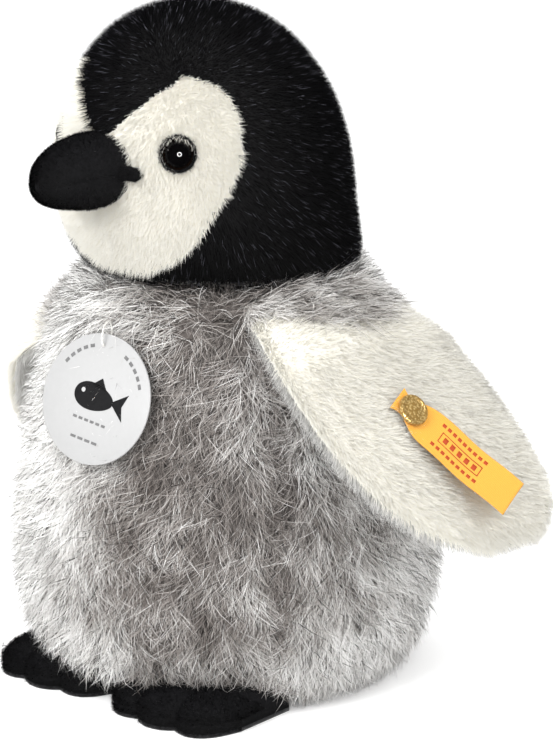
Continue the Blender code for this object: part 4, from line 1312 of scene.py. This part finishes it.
def make_fillings():
    """Lumpy fibre blocks in place of each filling, from its CAD solid."""
    owners = {"body_stuffing": "body", "head_stuffing": "head", "beak_stuffing": "head",
              "wing_stuffing_left": "left_wing", "wing_stuffing_right": "right_wing",
              "foot_stuffing_left": "body", "foot_stuffing_right": "body", "weight_bag": "body"}
    for node, body in owners.items():
        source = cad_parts[node]
        mesh = source.data.copy()
        mesh.transform(source.matrix_world)
        soft = bpy.data.objects.new(f"soft_{node}", mesh)
        bpy.context.collection.objects.link(soft)
        bm = bmesh.new()
        bm.from_mesh(mesh)
        bmesh.ops.remove_doubles(bm, verts=bm.verts, dist=1e-6)
        bmesh.ops.subdivide_edges(bm, edges=bm.edges, cuts=1, use_grid_fill=True)
        bmesh.ops.recalc_face_normals(bm, faces=bm.faces)
        bm.normal_update()
        if node == "beak_stuffing":
            heart = sum((v.co for v in bm.verts), Vector()) / len(bm.verts)
            for vertex in bm.verts:
                vertex.co = heart + 0.75 * (vertex.co - heart)
        for vertex in bm.verts:
            dent = 0.35 + 0.5 * noise.noise(vertex.co / (6.0 * MM))
            vertex.co -= vertex.normal * 0.4 * MM * max(0.0, dent)
        bm.to_mesh(mesh)
        bm.free()
        mesh.materials.clear()
        mesh.materials.append(COTTON if node == "weight_bag" else FIBRE)
        mesh.shade_smooth()
        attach(soft, body)
        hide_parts(node)


def make_base():
    profile = [(BASE_RADIUS - 1.2, 0.02), (BASE_RADIUS - 0.3, 0.5), (BASE_RADIUS - 0.1, 1.4),
               (BASE_RADIUS - 0.5, 2.4), (12.0, 2.6), (0.0, 2.6)]
    base = lathe("base_cloth", [(0.0, 0.02)] + profile, Matrix.Identity(4), 96, [FELT])
    bm = bmesh.new()
    bm.from_mesh(base.data)
    plane = (FOOT_REAR + 0.6) * MM
    cut = bmesh.ops.bisect_plane(bm, geom=bm.verts[:] + bm.edges[:] + bm.faces[:], plane_co=(0.0, plane, 0.0),
                                 plane_no=(0.0, -1.0, 0.0), clear_outer=True)
    edges = [e for e in cut["geom_cut"] if isinstance(e, bmesh.types.BMEdge)]
    bmesh.ops.holes_fill(bm, edges=edges)
    bm.to_mesh(base.data)
    bm.free()
    face_outward(base)
    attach(base, "body")
    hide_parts("body_base")


def paint_frame():
    """Materials for the CAD nodes that stay as they are."""
    kept = {"neck_thread": BLACK_SKIN, "eye_washer_left": PLASTIC, "eye_washer_right": PLASTIC,
            "button_clinch": BRASS}
    for node, material in kept.items():
        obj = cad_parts[node]
        for slot in obj.material_slots:
            slot.material = material


# ---------------------------------------------------------------- camera, floor and light

CAMERA_TURN, CAMERA_RISE = 40.0, 14.9
CAMERA_AWAY = 0.704
CAMERA_TARGET = Vector((0.0089, 0.0080, 0.069))
CAMERA_LENS = 142.3
LIGHT_TARGET = Vector((0.0, 0.0, 0.08))
# azimuth and elevation in degrees, distance and size in metres, power in watts
AREA_LIGHTS = {"key": (-5.0, 40.0, 0.9, 0.6, 8.5), "fill": (85.0, 42.0, 1.1, 0.6, 3.4),
               "rim": (150.0, 40.0, 0.9, 0.5, 2.6)}
RING_RADIUS, RING_HALF_WIDTH, RING_STRENGTH = 0.16, 0.011, 150.0
WORLD_STRENGTH = 0.97
FLOOR_REACH = 4000.0
FLOOR_GLOW = 0.12


def toward(azimuth, elevation):
    """Unit vector from the object toward a direction; azimuth 0 is in front of it, 90 on its left."""
    a, e = math.radians(azimuth), math.radians(elevation)
    return Vector((math.sin(a) * math.cos(e), -math.cos(a) * math.cos(e), math.sin(e)))


def aim(obj, target):
    obj.rotation_euler = (target - obj.location).to_track_quat("-Z", "Y").to_euler()


def make_camera():
    data = bpy.data.cameras.new("camera")
    data.lens = CAMERA_LENS
    data.sensor_width = 36.0
    data.clip_start = 0.01
    camera = bpy.data.objects.new("camera", data)
    bpy.context.collection.objects.link(camera)
    camera.location = CAMERA_TARGET + CAMERA_AWAY * toward(CAMERA_TURN, CAMERA_RISE)
    aim(camera, CAMERA_TARGET)
    bpy.context.scene.camera = camera


def area_light(name, azimuth, elevation, distance, size, power):
    """A round soft light, left out of sharp reflections."""
    data = bpy.data.lights.new(name, "AREA")
    data.shape = "DISK"
    data.size = size
    data.energy = power
    light = bpy.data.objects.new(name, data)
    bpy.context.collection.objects.link(light)
    light.location = LIGHT_TARGET + distance * toward(azimuth, elevation)
    aim(light, LIGHT_TARGET)
    light.visible_glossy = False


def make_ring_light():
    """A bright hoop round the camera, seen only as a small ring in each eye."""
    steps = 64
    rims = (RING_RADIUS - RING_HALF_WIDTH, RING_RADIUS + RING_HALF_WIDTH)
    place = frame_from(Vector(), toward(CAMERA_TURN, CAMERA_RISE))
    place.translation = CAMERA_TARGET + (CAMERA_AWAY + 0.03) * toward(CAMERA_TURN, CAMERA_RISE)
    points = [place @ Vector((size * math.cos(a), size * math.sin(a), 0.0)) / MM
              for a in np.linspace(0.0, 2 * math.pi, steps, endpoint=False) for size in rims]
    faces = [(2 * i, 2 * i + 1, (2 * i + 3) % (2 * steps), (2 * i + 2) % (2 * steps)) for i in range(steps)]
    material, nodes, _ = new_material("ring_light")
    shader = nodes["Principled BSDF"]
    shader.inputs["Emission Color"].default_value = (1.0, 1.0, 1.0, 1.0)
    shader.inputs["Emission Strength"].default_value = RING_STRENGTH
    hoop = mesh_object("ring_light", points, faces, [material])
    hoop.visible_diffuse = False
    hoop.visible_camera = False
    hoop.visible_shadow = False


def make_stage():
    corners = [(x * FLOOR_REACH, y * FLOOR_REACH, 0.0) for x, y in ((-1, -1), (1, -1), (1, 1), (-1, 1))]
    material, nodes, _ = new_material("floor_paper")
    floor = mesh_object("floor", corners, [(0, 1, 2, 3)], [material], smooth=False)
    shader = nodes["Principled BSDF"]
    shader.inputs["Base Color"].default_value = (0.93, 0.93, 0.93, 1.0)
    shader.inputs["Roughness"].default_value = 0.9
    shader.inputs["Specular IOR Level"].default_value = 0.1
    shader.inputs["Emission Color"].default_value = (1.0, 1.0, 1.0, 1.0)
    shader.inputs["Emission Strength"].default_value = FLOOR_GLOW
    floor.visible_glossy = False

    world = bpy.data.worlds.new("studio")
    world.use_nodes = True
    sky = world.node_tree.nodes["Background"]
    sky.inputs["Color"].default_value = (1.0, 1.0, 1.0, 1.0)
    sky.inputs["Strength"].default_value = WORLD_STRENGTH
    world.cycles_visibility.glossy = False
    bpy.context.scene.world = world
    for name, settings in AREA_LIGHTS.items():
        area_light(name, *settings)
    make_ring_light()
    view = bpy.context.scene.view_settings
    view.view_transform = "Standard"
    view.look = "None"
    view.exposure = 0.0


# ---------------------------------------------------------------- everything

make_camera()
make_stage()
paint_frame()
make_fillings()
make_base()
make_body_skins()
make_body_fur(np.random.default_rng(11))
make_head_skins()
make_head_fur(np.random.default_rng(12))
make_eyes(np.random.default_rng(13))
make_beak(np.random.default_rng(14))
make_mouth(np.random.default_rng(15))
for number, wing_side in enumerate(("left", "right")):
    make_wing(wing_side, np.random.default_rng(16 + number))
    make_foot(wing_side, np.random.default_rng(18 + number))
make_tag()
make_tag_loop()
make_label()
